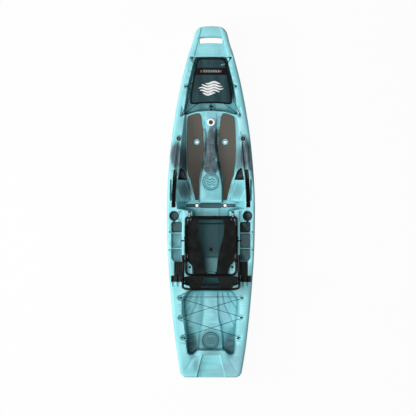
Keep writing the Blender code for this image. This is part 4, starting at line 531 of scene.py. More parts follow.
def turned(profile, center, sides, axis=UP):
    """Profile (radius, height) turned round an axis, starting and ending on it."""
    profile = np.asarray(profile, float)
    axis = np.asarray(axis, float)
    side = unit(np.cross(UP, axis)) if abs(axis[2]) < 0.9 else np.array((1.0, 0.0, 0.0))
    angle = turn_of(sides)[:, None]
    spokes = np.cos(angle) * side + np.sin(angle) * np.cross(axis, side)
    rows = profile[1:-1]
    verts = (np.asarray(center) + rows[:, None, :1] * spokes[None] + rows[:, None, 1:] * axis).reshape(-1, 3)
    index = np.arange(len(verts)).reshape(len(rows), sides)
    wrapped = np.concatenate([index, index[:, :1]], axis=1)
    low = np.full(sides, len(verts))
    faces = [cells(wrapped).reshape(-1, 4), np.stack([low, wrapped[0, 1:], wrapped[0, :-1]], axis=-1),
             np.stack([low + 1, wrapped[-1, :-1], wrapped[-1, 1:]], axis=-1)]
    return np.concatenate([verts, np.asarray(center) + profile[[0, -1], 1:] * axis]), faces


def smooth_path(points, step):
    """Cubic through points by their running distance, taken at even steps."""
    points = np.asarray(points, float)
    run = running(points)
    at = np.linspace(0, run[-1], int(run[-1] / step) + 2)
    return spots(*(through(list(zip(run, points[:, k])), at) for k in range(3)))


def add_object(name, data, place=(0, 0, 0)):
    thing = bpy.data.objects.new(name, data)
    bpy.context.scene.collection.objects.link(thing)
    thing.location = place
    return thing


def float_attribute(mesh, name, value):
    mesh.attributes.new(name, "FLOAT", "POINT").data.foreach_set("value", value.astype(np.float32))


def smooth(mesh, sharp_degrees):
    """Smooth shading with sharp edges above an angle."""
    mesh.shade_smooth()
    mesh.set_sharp_from_angle(angle=math.radians(sharp_degrees))


def mesh_object(name, shape, mirror=False, values=None):
    """Object from a shape: points, arrays of faces, one for each face size, and perhaps their UVs.

    Points that no face uses are left out. values are attributes of a slab's grid, the same
    on both its sides, and mirror gives the left-hand piece of a right-hand one.
    """
    verts, faces, *uvs = shape
    verts = np.array(verts, np.float32)
    if mirror:
        verts[:, 0] *= -1
        faces = [f[:, ::-1] for f in faces]
    corners = np.concatenate([f.ravel() for f in faces])
    used = np.zeros(len(verts), bool)
    used[corners] = True
    corners = (np.cumsum(used) - 1)[corners].astype(np.int32)
    sizes = np.concatenate([np.full(len(f), f.shape[1], np.int32) for f in faces])
    starts = np.concatenate([[0], np.cumsum(sizes)[:-1]]).astype(np.int32)
    mesh = bpy.data.meshes.new(name)
    mesh.vertices.add(int(used.sum()))
    mesh.vertices.foreach_set("co", verts[used].ravel())
    mesh.loops.add(len(corners))
    mesh.loops.foreach_set("vertex_index", corners)
    mesh.polygons.add(len(sizes))
    mesh.polygons.foreach_set("loop_start", starts)
    mesh.update(calc_edges=True)
    if uvs:
        layer = mesh.uv_layers.new(name="run")
        layer.data.foreach_set("uv", np.concatenate([u.ravel() for u in uvs[0]]).astype(np.float32))
    for key, value in (values or {}).items():
        float_attribute(mesh, key, np.tile(value.ravel(), 2)[used])
    smooth(mesh, PIECE_SHARP)
    return add_object(name, mesh)


def piece(name, shape, slot, finish, body="hull", **more):
    """Object with its finish, riding on a body unless that is None; the slot is not used."""
    thing = mesh_object(name, shape, **more)
    thing.data.materials.append(FINISHES[finish])
    if body:
        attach(thing, body)
    return thing


def trimmings(slot, body="hull"):
    """A list of small pieces, and the function that adds one to it."""
    pieces = []

    def add(name, shape, finish, its_slot=slot):
        pieces.append(piece(name, shape, its_slot, finish, body))

    return pieces, add


def reduce_mesh(thing, ratio):
    """Replaces an object's mesh by one with a share of its triangles."""
    thing.modifiers.new("reduce", "DECIMATE").ratio = ratio
    graph = bpy.context.evaluated_depsgraph_get()
    made = bpy.data.meshes.new_from_object(thing.evaluated_get(graph))
    made.name = thing.name
    thing.modifiers.clear()
    old = thing.data
    thing.data = made
    bpy.data.meshes.remove(old)


# Hull

def well_field(table, ax, y, fore, aft):
    """Height of an open well's floor, centre rise and walls, as cross-sections from a table.

    The rise falls to the floor between its half width and its foot. A wall climbs from its
    foot by the slope that meets the deck at its rim. Fore and aft are the slopes past the ends.
    """
    rim, foot, floor, half, middle_foot, rise = (straight(table, k, y) for k in range(1, 7))
    slope = (deck(y) - floor) / (rim - foot)
    middle = (rise - floor) * np.clip((middle_foot - ax) / (middle_foot - half), 0, 1)
    wall = np.maximum(ax - foot, 0) * slope
    beyond = np.maximum(y - max(table)[0], 0) * fore + np.maximum(min(table)[0] - y, 0) * aft
    return floor + middle + wall + beyond


def bow_deck(z, ax, y):
    """The sunk centre panel, the handle slot's rounded rim and the well under the cover."""
    panel = np.maximum(ax - np.interp(y, (1.455, 1.785), (0.172, 0.09)), 1.44 - y)
    z = sink(z, panel, deck(y) - 0.009, 0.006)
    slot = gap_to_box(ax, y, -SLOT[0], SLOT[0], SLOT[1], SLOT[2], SLOT_CORNER)
    z = z - round_corner(np.maximum(slot, 0.0), SLOT_CORNER)
    z = z - 0.003 * hump(slot - 0.014, 0.006)
    well = [(0.16, WELL_FRONT, 0.03), (0.172, 1.402, 0.0), (0.2275, 1.1845, 0.0), (0.275, 0.887, 0.0),
            (0.265, 0.867, 0.0), (0.1375, 0.9045, 0.0), (0.0, WELL_AFT, 0.0)]
    well += [(-x, at, r) for x, at, r in reversed(well[:-1])]
    gap = gap_to(corners_rounded(well), ax, y)
    z = z + 0.003 * hump(gap - 0.009, 0.009) * ease((0.94 - y) / 0.02)
    return sink(z, gap, WELL_FLOOR + 0.01 * ease((ax - 0.05) / 0.1), 0.016)


def hook_scoop(z, ax, y, spot, drop, radius, head=0.008, length=0.068):
    """Scoop from a round head at a hook into the well beside it, wider towards the well."""
    x, at, tilt = spot
    out = np.array((1.0, tilt)) / math.hypot(1.0, tilt)
    along = (ax - x) * out[0] + (y - at) * out[1]
    aside = np.abs((ax - x) * -out[1] + (y - at) * out[0])
    wide = radius + 0.034 * np.clip((head - along) / length, 0, 1)
    gap = np.where(along > head, np.hypot(along - head, aside) - radius, aside - wide)
    gap = np.maximum(gap, -0.06 - along)
    return sink(z, gap - 0.002, deck(y) - drop - 0.0004, 0.004)


def ridge_top(z, ax, y):
    """Twin fairings over a rod tip tunnel, ended aft by a zigzag that frames its mouth."""
    inset = ax - (half_beam(y) - RIDGE_INSET)
    fore = ease((0.60 - y) / 0.12)
    outer, inner = (np.clip(1 - np.abs((inset - middle) / half) ** 3, 0, 1) ** 0.6
                    for middle, half in ((0.0165, 0.021), (-0.032, 0.0165)))
    fairing = np.maximum(0.028 * outer, 0.022 * inner) * (0.25 + 0.75 * fore) * ease((0.63 - y) / 0.03)
    between = 0.012 * (1 - np.clip(np.abs(inset + 0.008) / 0.012, 0, 1)) * fore
    end = np.interp(ax, (0.285, 0.2965, 0.336, 0.345, 0.389, 0.394, 0.42),
                    (0.42, 0.372, 0.264, 0.318, 0.318, 0.298, 0.248))
    behind = ease((y - end) / 0.006)
    return z + np.maximum(fairing, between) * behind * ((y > 0.2) & (y < 0.64))


def rod_trough(z, ax, y):
    """The trough, the dark mouth at its head and the slit beside it."""
    off = ax - (half_beam(y) - TROUGH_INSET)
    drop = 0.012 + 0.028 * ease(np.clip((TROUGH_FRONT - y) / 0.13, 0, 1))
    gap = gap_to_strip(off, 0.0188, y, TROUGH_AFT - 0.003, TROUGH_FRONT + 0.002)
    z = sink(z, gap, deck(y) - drop - 0.001, 0.0036)
    z = sink(z, gap_to_strip(off, 0.012, y, 0.30, 0.326), deck(y) - 0.035, 0.005)
    slit, _ = inboard(0.036, 0.12)
    gap = gap_to_box(ax, y, slit - 0.0078, slit + 0.0078, 0.014, 0.226, 0.003)
    return sink(z, gap, deck(y) - 0.03, 0.004)


def cup_holder(z, ax, y):
    """The holder, its neck and the lower deck beside it."""
    beside = ease((ax - 0.283) / 0.004) * ease((0.326 - ax) / 0.012)
    z = z - 0.017 * beside * ease((0.056 - np.abs(y + 0.142)) / 0.008)
    z = z - 0.004 * hump(gap_to_ring(ax, y, HOLDER, 0.052), 0.006)
    z = sink(z, gap_to_ring(ax, y, HOLDER, 0.0475), 0.235, 0.004)
    neck = gap_to_box(ax, y, HOLDER[0] - 0.0115, HOLDER[0] + 0.0115, -0.215, HOLDER[1])
    return sink(z, neck, 0.262, 0.004)


def tackle_tray(z, ax, y):
    """Three cells between two ribs."""
    outer, front = inboard(0.044, -0.199)
    inner = outer - 0.106
    aft = -0.589
    tray = corners_rounded([(inner, aft, 0.01), (outer - 0.024, aft, 0.01), (outer, aft + 0.03, 0.01),
                            (outer, front, 0.014), (inner, front, 0.014)])
    inside = gap_to(tray, ax, y)
    z = sink(z, inside - 0.001, 0.288, 0.005)
    for fore, back, depth in ((front, -0.3034, 0.0685), (-0.3134, -0.4589, 0.0485), (-0.4689, aft, 0.0485)):
        cell = np.maximum(gap_to_box(ax, y, inner + 0.001, outer - 0.001, back, fore, 0.012), inside)
        z = np.where(inside < 0, sink(z, cell, 0.31 - depth, 0.007), z)
    return z


def side_deck(z, ax, x, y):
    """Everything moulded into the strip between the cockpit and the gunwale."""
    z = ridge_top(z, ax, y)
    # mount bosses, and a dimple beside the right-hand one
    top = float(deck(MOUNT[1])) + 0.005
    z = lift(z, gap_to_ring(ax, y, MOUNT, 0.034), top - 0.0006, 0.004)
    z = sink(z, gap_to_ring(ax, y, MOUNT, 0.0218), top - 0.027, 0.0036)
    z = z - 0.007 * ease(-gap_to_ring(x, y, (0.304, 0.687), 0.013) / 0.006)
    z = tackle_tray(cup_holder(rod_trough(z, ax, y), ax, y), ax, y)
    # seat of the rod pad
    z = sink(z, gap_to_box(ax, y, 0.2725, 0.3705, -0.7385, -0.587, 0.008), 0.3026, 0.0038)
    # two scallops behind the rod rest
    for center in (0.323, 0.373):
        radius = 0.019 - 0.0055 * np.clip((-0.793 - y) / 0.049, 0, 1)
        inside = np.maximum(radius**2 - (ax - center) ** 2, 0)
        groove = 0.312 - np.sqrt(inside) * ease((0.846 + y) / 0.008)
        z = np.where((y < -0.79) & (y > -0.846) & (inside > 0), np.minimum(z, groove), z)
    # dishes of the scupper plugs
    dish = np.hypot((ax - 0.212) / 0.030, (y + 0.65) / 0.047) - 1
    z = sink(z, dish * 0.03, 0.302 - 0.0004, 0.012)
    return sink(z, gap_to_ring(ax, y, (0.212, -0.65), 0.0112), 0.28, 0.003)


TIP_POCKET = corners_rounded([
    (0.305, 0.345, 0.006), (0.330, 0.226, 0.0), (0.236, 0.226, 0.0), (0.268, 0.31, 0.02),
])
SLOPE_PANEL = np.array([(0.263, 0.212), (0.322, 0.212), (0.343, 0.151), (0.284, 0.017), (0.186, 0.017)])


def channel_gap(ax, y):
    """Gap to the cross channel of the floor: narrow arms and a wider middle."""
    return np.minimum(gap_to_box(ax, y, -0.25, 0.25, -0.0505, -0.0175, 0.008),
                      gap_to_box(ax, y, -0.108, 0.108, -0.058, -0.010, 0.008))


def floor_details(z, ax, x, y):
    """Bosses, disc frames, slope panels and the cross channel of the foot platform."""
    # centre boss and the moat round it
    boss = gap_to_ring(ax, y, BOSS, 0.0)
    z = z - 0.010 * hump(boss - 0.058, 0.016) * ease((ax - 0.026) / 0.012) * ease((0.82 - y) / 0.03)
    z = lift(z, boss - 0.045, 0.2825, 0.006)
    z = sink(z, boss - 0.0218, 0.258, 0.0036)
    # scupper rings between the pads
    ring = gap_to_ring(ax, y, SCUPPERS[0], 0.0)
    z = lift(z, ring - 0.0295, straight(COCKPIT, 3, SCUPPERS[0][1]) + 0.0075, 0.003)
    z = z - 0.007 * ease(-(ring - 0.0225) / 0.003)
    z = sink(z, gap_to(TIP_POCKET, ax, y) - 0.002, 0.13, 0.005)
    # slope panels, sunk with a raised bead along both sides
    gap = gap_to(SLOPE_PANEL, ax, y)
    z = z - 0.006 * ease(-gap / 0.006) + 0.006 * hump(gap - 0.006, 0.008)
    # discs: rings and three wavy grooves
    for at in DISCS:
        away = np.hypot(x, y - at)
        z = z + 0.0032 * hump(away - 0.088, 0.005) - 0.003 * hump(away - 0.079, 0.005)
        z = z + 0.0028 * hump(away - 0.069, 0.005)
        for row in (-1, 0, 1):
            wave = y - at - WAVE_SPACING * row - WAVE_HEIGHT * np.sin(x * 2 * math.pi / WAVE_LENGTH)
            z = z - 0.0026 * hump(wave, 0.0065) * ease((0.056 - away) / 0.01)
    # cross channel with a ring round each scupper
    rings = gap_to_ring(ax, y, SCUPPERS[1], 0.027)
    channel = np.minimum(channel_gap(ax, y), rings)
    z = z + 0.002 * hump(channel - 0.004, 0.004)
    z = sink(z, channel, 0.098, 0.006)
    return z - 0.004 * ease(-(rings + 0.004) / 0.003)


def tank_details(z, ax, x, y):
    """Floor steps that fan out from the centre panel, each falling outboard, and the disc's frame."""
    inside = ease((-0.90 - y) / 0.02) * ease((y + 1.33) / 0.05)
    for line in TANK_STEPS:
        edge = straight(line, 1, y)
        ended = ease((y - min(line)[0]) / 0.03)
        step = 0.009 * ease((ax - edge) / 0.0055) - 0.009 * ease((ax - edge - 0.0055) / 0.04)
        z = z - step * inside * ended
    away = np.hypot(x, y - DISCS[1])
    return z + 0.0036 * hump(away - 0.093, 0.007) - 0.0036 * hump(away - 0.082, 0.006)


def stern_deck(z, ax, y, front=-1.524):
    """The channel that drains over the transom, and the creases beside the aft pockets."""
    run = np.clip((front - y) / (BOW + front), 0, 1)
    gap = np.maximum(ax - (0.087 + 0.058 * run), y - front)
    z = sink(z, gap, deck(y) - 0.010 - 0.012 * run, 0.005)
    z = z + 0.003 * hump(gap - 0.006, 0.006) * ease((-1.50 - y) / 0.02)
    facet = (ax - 0.17) * 0.62 + (y + 1.545) * 0.36
    crease = ease((0.02 - np.abs(facet)) / 0.02)
    return z - 0.003 * crease * ease((-1.54 - y) / 0.03) * ease((y + 1.70) / 0.05)


def hull_top(x, y):
    """Height of the hull seen from above, built up feature by feature."""
    ax = np.abs(x)
    inset = hull_edge(y) - ax
    z = deck_level(y) - rolled(inset, y)
    cockpit = softer_low(z, well_field(COCKPIT, ax, y, 8.0, 8.0), 0.005)
    z = np.where(inset > 0.03, floor_details(cockpit, ax, x, y), z)
    tank = tank_details(well_field(TANK, ax, y, 8.0, 15.0), ax, x, y)
    z = np.where((y < -0.83) & (inset > 0.03), softer_low(z, tank, 0.005), z)
    z = np.where(y > 0.84, bow_deck(z, ax, y), z)
    z = side_deck(z, ax, x, y)
    for name, spot in HOOKS.items():
        drop, radius = (0.012, 0.019) if name.startswith("bow") else (0.022, 0.024)
        z = hook_scoop(z, ax, y, spot, drop, radius)
    return np.where(y < -1.45, stern_deck(z, ax, y), z)


def hull_heights(x, y):
    """Deck heights on the hull's grid, with walls too steep for its cells spread over two of them.

    The mean of nine heights round a point, weighted 1 2 1 both ways, stands in for the plain
    height where the two differ by more than a millimetre.
    """
    plain = hull_top(x, y)
    mean = sum((2 - abs(i)) * (2 - abs(j)) / 16 * hull_top(x + i * WALL_SPREAD, y + j * WALL_SPREAD)
               for i in (-1, 0, 1) for j in (-1, 0, 1))
    ax = np.abs(x)
    inset = hull_edge(y) - ax - roll_width(y) - WALL_SPREAD
    own = ease(inset / 0.004) * ease((BOW - END_EDGE - WALL_SPREAD - np.abs(y)) / 0.01)
    # linings and cups keep the plain walls that they stand against
    trough = gap_to_strip(ax - half_beam(y) + TROUGH_INSET, 0.028, y, -0.01, 0.33)
    cups = np.minimum(gap_to_ring(ax, y, MOUNT, 0.034), gap_to_ring(ax, y, BOSS, 0.045))
    own = own * ease(np.minimum(trough, cups) / 0.003)
    return plain + (mean - plain) * ease((np.abs(mean - plain) - 0.0006) / 0.0014) * own


def hull_under(y, edge, level, full):
    """Cross-sections of the underside, from the keel line out to the gunwale's widest point.

    Inner columns run straight out over the keel, the tunnel beside it and the sponson. Outer
    columns follow a quadratic curve that leaves the sponson level and ends at the gunwale.
    """
    low = (keel(y) + sum(both_ends(y, END_EDGE)))[:, None]
    y, edge, full, level = (column[:, None] for column in (y, edge, full, level))
    share = np.linspace(0, 1, INNER_COLUMNS + 1)[None] * INNER_WIDTH
    tunnel = ease((share - 0.05) / 0.05) * ease((0.215 - share) / 0.055)
    inner_z = low + 0.028 * np.minimum(full * 1.2, 1.0) * tunnel
    s = np.linspace(0, 1, OUTER_COLUMNS + 1)[None, 1:]
    start = INNER_WIDTH * full
    lean = start + (edge - start) * np.minimum(0.25 + 0.6 * full, 0.85)
    outer_x, outer_z = ((1 - s) ** 2 * first + 2 * s * (1 - s) * middle + s**2 * last
                        for first, middle, last in ((start, lean, edge), (low, low, level - ROLL_HEIGHT)))
    # recess for the side carry handle
    across = gap_to_box(y, outer_z, HANDLE_PLACE - 0.135, HANDLE_PLACE + 0.135, 0.185, 0.282, 0.02)
    face, _ = inboard(0.0225, HANDLE_PLACE)
    outer_x = np.minimum(outer_x, outer_x + (face - outer_x) * ease(-(across - 0.004) / 0.006))
    return inner_z, outer_x, outer_z


def hull_columns(edge, full, y):
    """Distances from the middle of the deck's columns: even, then round the gunwale."""
    start = (INNER_WIDTH * full)[:, None]
    inner = np.linspace(0, 1, INNER_COLUMNS + 1)[None, :] * start
    wide = roll_width(y)[:, None]
    flat = edge[:, None] - wide
    strip = start + (flat - start) * np.linspace(0, 1, OUTER_COLUMNS - EDGE_COLUMNS + 1)[None, 1:]
    angle = np.linspace(0, math.pi / 2, EDGE_COLUMNS + 1)[None, 1:]
    return np.concatenate([inner, strip, flat + wide * np.sin(angle)], axis=1)


def open_hole(x, y, holes, radius, low, high=None):
    """Marks the cells within a radius of a core as open, and moves the vertices round them onto it.

    The core is a point, or the box between two corners.
    """
    def from_core(*place):
        core = [np.clip(p, a, b) for p, a, b in zip(place, low, high or low)]
        away = [p - c for p, c in zip(place, core)]
        return core, away, np.hypot(*away)

    inside = from_core(*((p[:-1, :-1] + p[1:, 1:]) / 2 for p in (x, y)))[2] < radius
    holes |= inside
    touched = np.zeros(x.shape, int)
    for di in (0, 1):
        for dj in (0, 1):
            touched[di:di + inside.shape[0], dj:dj + inside.shape[1]] += inside
    rim = (touched > 0) & (touched < 4)
    core, away, length = from_core(x[rim], y[rim])
    x[rim], y[rim] = (c + a / np.maximum(length, 1e-9) * radius for c, a in zip(core, away))


def end_loops(points, middle, sign):
    """Loops of points that close the nose on its middle, or the transom round the drain's recess."""
    if sign > 0:
        return [points + (middle - points) * s for s in (0.2, 0.45, 0.7, 0.9)] + [middle[None]]
    away = points - middle
    rim = middle + away / np.hypot(away[:, 0], away[:, 2])[:, None] * DRAIN[1]
    inward = np.array((0, DRAIN[2], 0))
    loops = [points + (rim - points) * s for s in (0.25, 0.5, 0.75, 0.9, 1.0)]
    loops += [rim + inward * s for s in (0.1, 1.0)]
    return loops + [middle + (rim - middle) * 0.5 + inward, (middle + inward)[None]]


def make_hull():
    """Closed skin: deck and underside over one grid, with walls down the through holes."""
    near = END_EDGE * (1 - np.cos(np.linspace(0, math.pi / 2, 8)))
    count = int(round((2 * BOW - 2 * END_EDGE) / ROW_STEP))
    inner = np.linspace(-BOW + END_EDGE, BOW - END_EDGE, count + 1)[1:-1]
    rows = np.concatenate([-BOW + near, inner, (BOW - near)[::-1]])
    edge = hull_edge(rows)
    full = fullness(rows, edge)

    right = hull_columns(edge, full, rows)
    x = np.concatenate([-right[:, :0:-1], right], axis=1)
    y = np.repeat(rows[:, None], x.shape[1], axis=1)
    holes = np.zeros((x.shape[0] - 1, x.shape[1] - 1), bool)
    open_hole(x, y, holes, SLOT_CORNER, (-SLOT[0] + SLOT_CORNER, SLOT[1] + SLOT_CORNER),
              (SLOT[0] - SLOT_CORNER, SLOT[2] - SLOT_CORNER))
    for spot_x, spot_y in SCUPPERS:
        for _, side in BOTH:
            open_hole(x, y, holes, SCUPPER_RADIUS, (side * spot_x, spot_y))
    top_z = hull_heights(x, y)

    inner_z, outer_x, outer_z = hull_under(rows, edge, deck_level(rows), full)
    under_z = np.concatenate([inner_z, outer_z], axis=1)
    under_z = np.concatenate([under_z[:, :0:-1], under_z], axis=1)
    under_x = np.concatenate([-outer_x[:, ::-1], x[:, OUTER_COLUMNS:-OUTER_COLUMNS], outer_x], axis=1)
    top_index = np.arange(x.size).reshape(x.shape)
    under_index = np.zeros(x.shape, int)
    under_index[:, 1:-1] = x.size + np.arange(x[:, 1:-1].size).reshape(len(x), -1)
    for column in (0, -1):
        top_z[:, column] = under_z[:, column]
        under_index[:, column] = top_index[:, column]
    under = spots(under_x, y, under_z)[:, 1:-1].reshape(-1, 3)
    verts = [spots(x, y, top_z).reshape(-1, 3), under]
    faces = [cells(top_index)[~holes], cells(under_index)[~holes][:, ::-1]]
    faces += walls(top_index, under_index, ~holes, False)
    total = x.size + len(under)
    for row, sign in ((0, -1), (-1, 1)):
        ring = np.concatenate([top_index[row], under_index[row, -2:0:-1]])
        points = np.concatenate(verts)[ring]
        middle = np.array((0.0, sign * BOW, DRAIN[0] if sign < 0 else points[:, 2].mean()))
        for loop in end_loops(points, middle, sign):
            if len(loop) == 1:
                band = np.stack([ring, np.full(len(ring), total), np.roll(ring, -1)], axis=-1)
            else:
                inward = total + np.arange(len(ring))
                band = np.stack([ring, inward, np.roll(inward, -1), np.roll(ring, -1)], axis=-1)
                ring = inward
            faces.append(band if sign < 0 else band[:, ::-1])
            verts.append(loop)
            total += len(loop)
    # the nose and its slot bow aft towards the sides, by a square of the width
    x, y, z = np.concatenate(verts).T
    return spots(x, y - 0.010 * (x / 0.13) ** 2 * ease((y - 1.48) / 0.15), z), faces


# How the hull's surface varies

def deck_relief(points):
    """How far each point of the deck is sunk below or raised above the heights round it, and what is deck.

    The deck's height map is blurred by a bell curve of two widths. Painted shade grows with how far a point
    lies below the blurred heights, and a painted highlight with how far it stands above the narrower one.
    """
    axes = [np.arange(-half, half + 0.0001, MAP_STEP) for half in MAP_HALF]
    x, y = np.meshgrid(*axes)
    height = hull_top(x, y)

    def blurred(width):
        reach = int(2.5 * width / MAP_STEP)
        weights = np.exp(-0.5 * (np.arange(-reach, reach + 1) * MAP_STEP / width) ** 2)
        weights /= weights.sum()
        out = height
        for axis in (0, 1):
            pad = [(reach, reach) if k == axis else (0, 0) for k in (0, 1)]
            padded = np.pad(out, pad, mode="edge")
            out = sum(w * np.take(padded, np.arange(out.shape[axis]) + k, axis=axis)
                      for k, w in enumerate(weights))
        return out

    near = blurred(0.012) - height
    far = blurred(0.05) - height
    hollow_shade = 0.6 * ease(near / 0.016) + 0.4 * ease(far / 0.09)
    hollow_shade = hollow_shade * (1 - 0.3 * ease((y - 0.86) / 0.06))
    column, row = (np.clip((points[:, k] + MAP_HALF[k]) / MAP_STEP, 0, len(axes[k]) - 1.001) for k in (0, 1))
    i, j = row.astype(int), column.astype(int)
    s, t = row - i, column - j

    def sampled(field):
        return ((field[i, j] * (1 - t) + field[i, j + 1] * t) * (1 - s)
                + (field[i + 1, j] * (1 - t) + field[i + 1, j + 1] * t) * s)

    on_top = ease((points[:, 2] - sampled(height) + 0.05) / 0.02)
    on_top = on_top * (np.abs(points[:, 0]) < hull_edge(points[:, 1]) - 0.004)
    return sampled(hollow_shade) * on_top, sampled(ease(-near / 0.006)) * on_top, on_top


def deep_places(points, on_top):
    """Painted shade, near black, in the narrow sunk places: pockets, slits, troughs, holders and the spine's
    foot.
    """
    x, y, z = points.T
    ax = np.abs(x)
    depth = deck(y) - z
    beside = ease((ax - straight(COCKPIT, 1, y) - 0.004) / 0.006) * (y > -0.6) * (y < 0.66)
    # the painted shade beside the cockpit is heavier on the right-hand side, which the lamps light less
    places = (-0.6, -0.31, -0.3, -0.2, -0.19, -0.08, 0.0, 0.33, 0.35)
    left = np.interp(y, places, (0.35, 0.35, 0.7, 0.7, 0.86, 0.86, 1.0, 1.0, 0.4))
    right = np.interp(y, places, (0.72, 0.72, 0.92, 0.92, 0.93, 0.93, 1.0, 1.0, 0.8))
    deep_shade = beside * np.where(x > 0, right, left) * ease((depth - 0.016) / 0.02)
    pocket = ease((0.004 - gap_to(TIP_POCKET, ax, y)) / 0.005) * (depth > 0.02)
    trough = hump(ax - half_beam(y) + TROUGH_INSET + 0.021, 0.009) * (y > 0.0) * (y < 0.33)
    foot = hump(ax - straight(COCKPIT, 5, y) - 0.001, 0.012) * ease((y + 0.01) / 0.01)
    foot = foot * ease((0.76 - y) / 0.04) * np.where(x > 0, 0.9, 0.6)
    channel = 0.84 * ease((0.004 - channel_gap(ax, y)) / 0.008)
    return np.maximum.reduce([deep_shade, pocket, 0.9 * trough, foot, channel]) * on_top


# Smoke in the plastic, and painted shade where side patches darken the right flank, the right aft pocket and
# the left cockpit wall: centre, half width, half length, amount, and side (0 on both)
SMOKE_AND_SHADE = (
    (0.0, 0.54, 0.072, 0.25, 1.3, 0), (0.0, 0.37, 0.105, 0.09, 1.2, 0), (0.10, 0.42, 0.05, 0.30, 0.55, 0),
    (0.345, 0.46, 0.065, 0.17, 0.95, 0), (0.29, 0.42, 0.05, 0.18, 0.6, 0), (0.255, 0.12, 0.09, 0.11, 0.4, 0),
    (0.32, 0.635, 0.045, 0.05, 0.6, 0), (0.0, -1.40, 0.17, 0.10, 0.36, 0), (0.0, -1.50, 0.16, 0.035, 0.5, 0),
    (-0.25, 0.13, 0.09, 0.11, 0.72, -1), (-0.27, 0.40, 0.04, 0.20, 0.85, -1),
    (-0.15, -1.63, 0.05, 0.11, 0.5, -1),
    (0.40, -1.38, 0.05, 0.25, 0.55, 1), (0.35, -0.35, 0.08, 0.30, 0.5, 1), (0.25, 0.12, 0.09, 0.10, 0.5, 1),
    (0.366, -0.138, 0.06, 0.06, 0.6, 1), (0.42, 0.36, 0.04, 0.24, 0.7, 1), (0.44, -0.50, 0.03, 0.60, 0.5, 1),
    (0.14, -1.66, 0.10, 0.08, 0.35, 1), (0.19, -1.42, 0.07, 0.09, 0.35, 1),
)
# Deeper aqua: the plastic's tone round the stern disc, and painted shade in the aft pockets, the tank well
# and the bow well behind the cover: centre, half width, half length, amount, and side
DEEPER_AQUA_AND_SHADE = (
    (0.0, -1.394, 0.125, 0.10, 0.62, 0), (0.19, -1.44, 0.055, 0.11, 0.9, 0),
    (0.19, -1.02, 0.12, 0.14, 0.04, 0), (0.0, 0.955, 0.22, 0.05, 0.4, 0),
)


# Finishes

def linear(text):
    """A colour written as six hexadecimal digits, as linear values with alpha."""
    shares = [int(text[i:i + 2], 16) / 255 for i in (0, 2, 4)]
    return (*(s / 12.92 if s <= 0.04045 else ((s + 0.055) / 1.055) ** 2.4 for s in shares), 1.0)


class Value:
    """A shader socket that adds a Math node for each sum, product or power."""

    def __init__(self, finish, socket):
        self.finish = finish
        self.socket = socket

    def math(self, operation, *others):
        """This value as the first term, and the others after it."""
        return self.finish.node("ShaderNodeMath", {"operation": operation}, dict(enumerate((self, *others))))

    def __add__(self, other):
        return self.math("ADD", other)

    def __sub__(self, other):
        return self.math("SUBTRACT", other)

    def __rsub__(self, other):
        return self * -1.0 + other

    def __mul__(self, other):
        return self.math("MULTIPLY", other)

    def __truediv__(self, other):
        return self.math("DIVIDE", other)

    __radd__ = __add__
    __rmul__ = __mul__

    def wave(self, period):
        """Sine with one swing to each period."""
        return (self * (2 * math.pi / period)).math("SINE")

    def size(self):
        return self.math("ABSOLUTE")

    def between(self, low, high):
        """0 at low, 1 at high, smooth between."""
        return self.finish.node("ShaderNodeMapRange", {"interpolation_type": "SMOOTHSTEP"},
                                {0: self, 1: low, 2: high, 3: 0.0, 4: 1.0})

    def near(self, middle, half):
        """1 at the middle, falling to 0 at the half width."""
        return (self - middle).size().between(half, 0.0)


class Finish:
    """A material whose nodes come from one method. Colours are given as hexadecimal digits."""

    def __init__(self, name, roughness=0.5, **constants):
        self.material = bpy.data.materials.new(name)
        self.material.use_nodes = True
        self.tree = self.material.node_tree
        self.shader = self.tree.nodes["Principled BSDF"]
        self.shader.inputs["Roughness"].default_value = roughness
        for key, value in constants.items():
            self.shader.inputs[key.replace("_", " ").title().replace("Ior", "IOR")].default_value = value

    def node(self, kind, settings=None, inputs=None, output=0):
        made = self.tree.nodes.new(kind)
        for key, value in (settings or {}).items():
            setattr(made, key, value)
        for key, value in (inputs or {}).items():
            socket = made.inputs[key]
            if isinstance(value, Value):
                self.tree.links.new(value.socket, socket)
            else:
                socket.default_value = linear(value) if isinstance(value, str) else value
        return Value(self, made.outputs[output])

    def place(self, scale=(1, 1, 1), shift=(0, 0, 0), at=None):
        """Object coordinates, or the ones given, scaled and shifted."""
        at = at or self.node("ShaderNodeTexCoord", output=3)
        return self.node("ShaderNodeMapping", None, {"Vector": at, "Location": shift, "Scale": scale})

    def away(self, x, y, wide, long, at):
        """Distance from a place in the plan, counted in half widths and half lengths."""
        inside = self.place((1 / wide, 1 / long, 0), (-x / wide, -y / long, 0), at)
        return self.node("ShaderNodeVectorMath", {"operation": "LENGTH"}, {0: inside}, output=1)

    def parts(self, vector):
        """The three numbers of a vector."""
        first = self.node("ShaderNodeSeparateXYZ", None, {0: vector})
        return [first] + [Value(self, first.socket.node.outputs[k]) for k in (1, 2)]

    def run(self):
        """The share round a swept piece, and the length along it in metres."""
        return self.parts(self.node("ShaderNodeTexCoord", output=2))[:2]

    def noise(self, scale, detail=3.0, roughness=0.5, at=None, distortion=0.0):
        return self.node("ShaderNodeTexNoise", None, {
            "Vector": at or self.place(), "Scale": scale, "Detail": detail, "Roughness": roughness,
            "Distortion": distortion})

    def mix(self, share, first, second):
        """Colours mixed by a share."""
        return self.node("ShaderNodeMix", {"data_type": "RGBA"}, {0: share, 6: first, 7: second}, output=2)

    def over(self, colour, *layers):
        """A colour with others laid over it, each by its share."""
        for share, other in layers:
            colour = self.mix(share, colour, other)
        return colour

    def attribute(self, name):
        return self.node("ShaderNodeAttribute", {"attribute_name": name}, output=2)

    def done(self, height, strength, distance, **links):
        """The material, its shader linked and with a bump from a height."""
        links["normal"] = self.node("ShaderNodeBump", None,
                                    {"Strength": strength, "Distance": distance, "Height": height})
        for key, value in links.items():
            self.tree.links.new(value.socket, self.shader.inputs[key.replace("_", " ").title()])
        return self.material


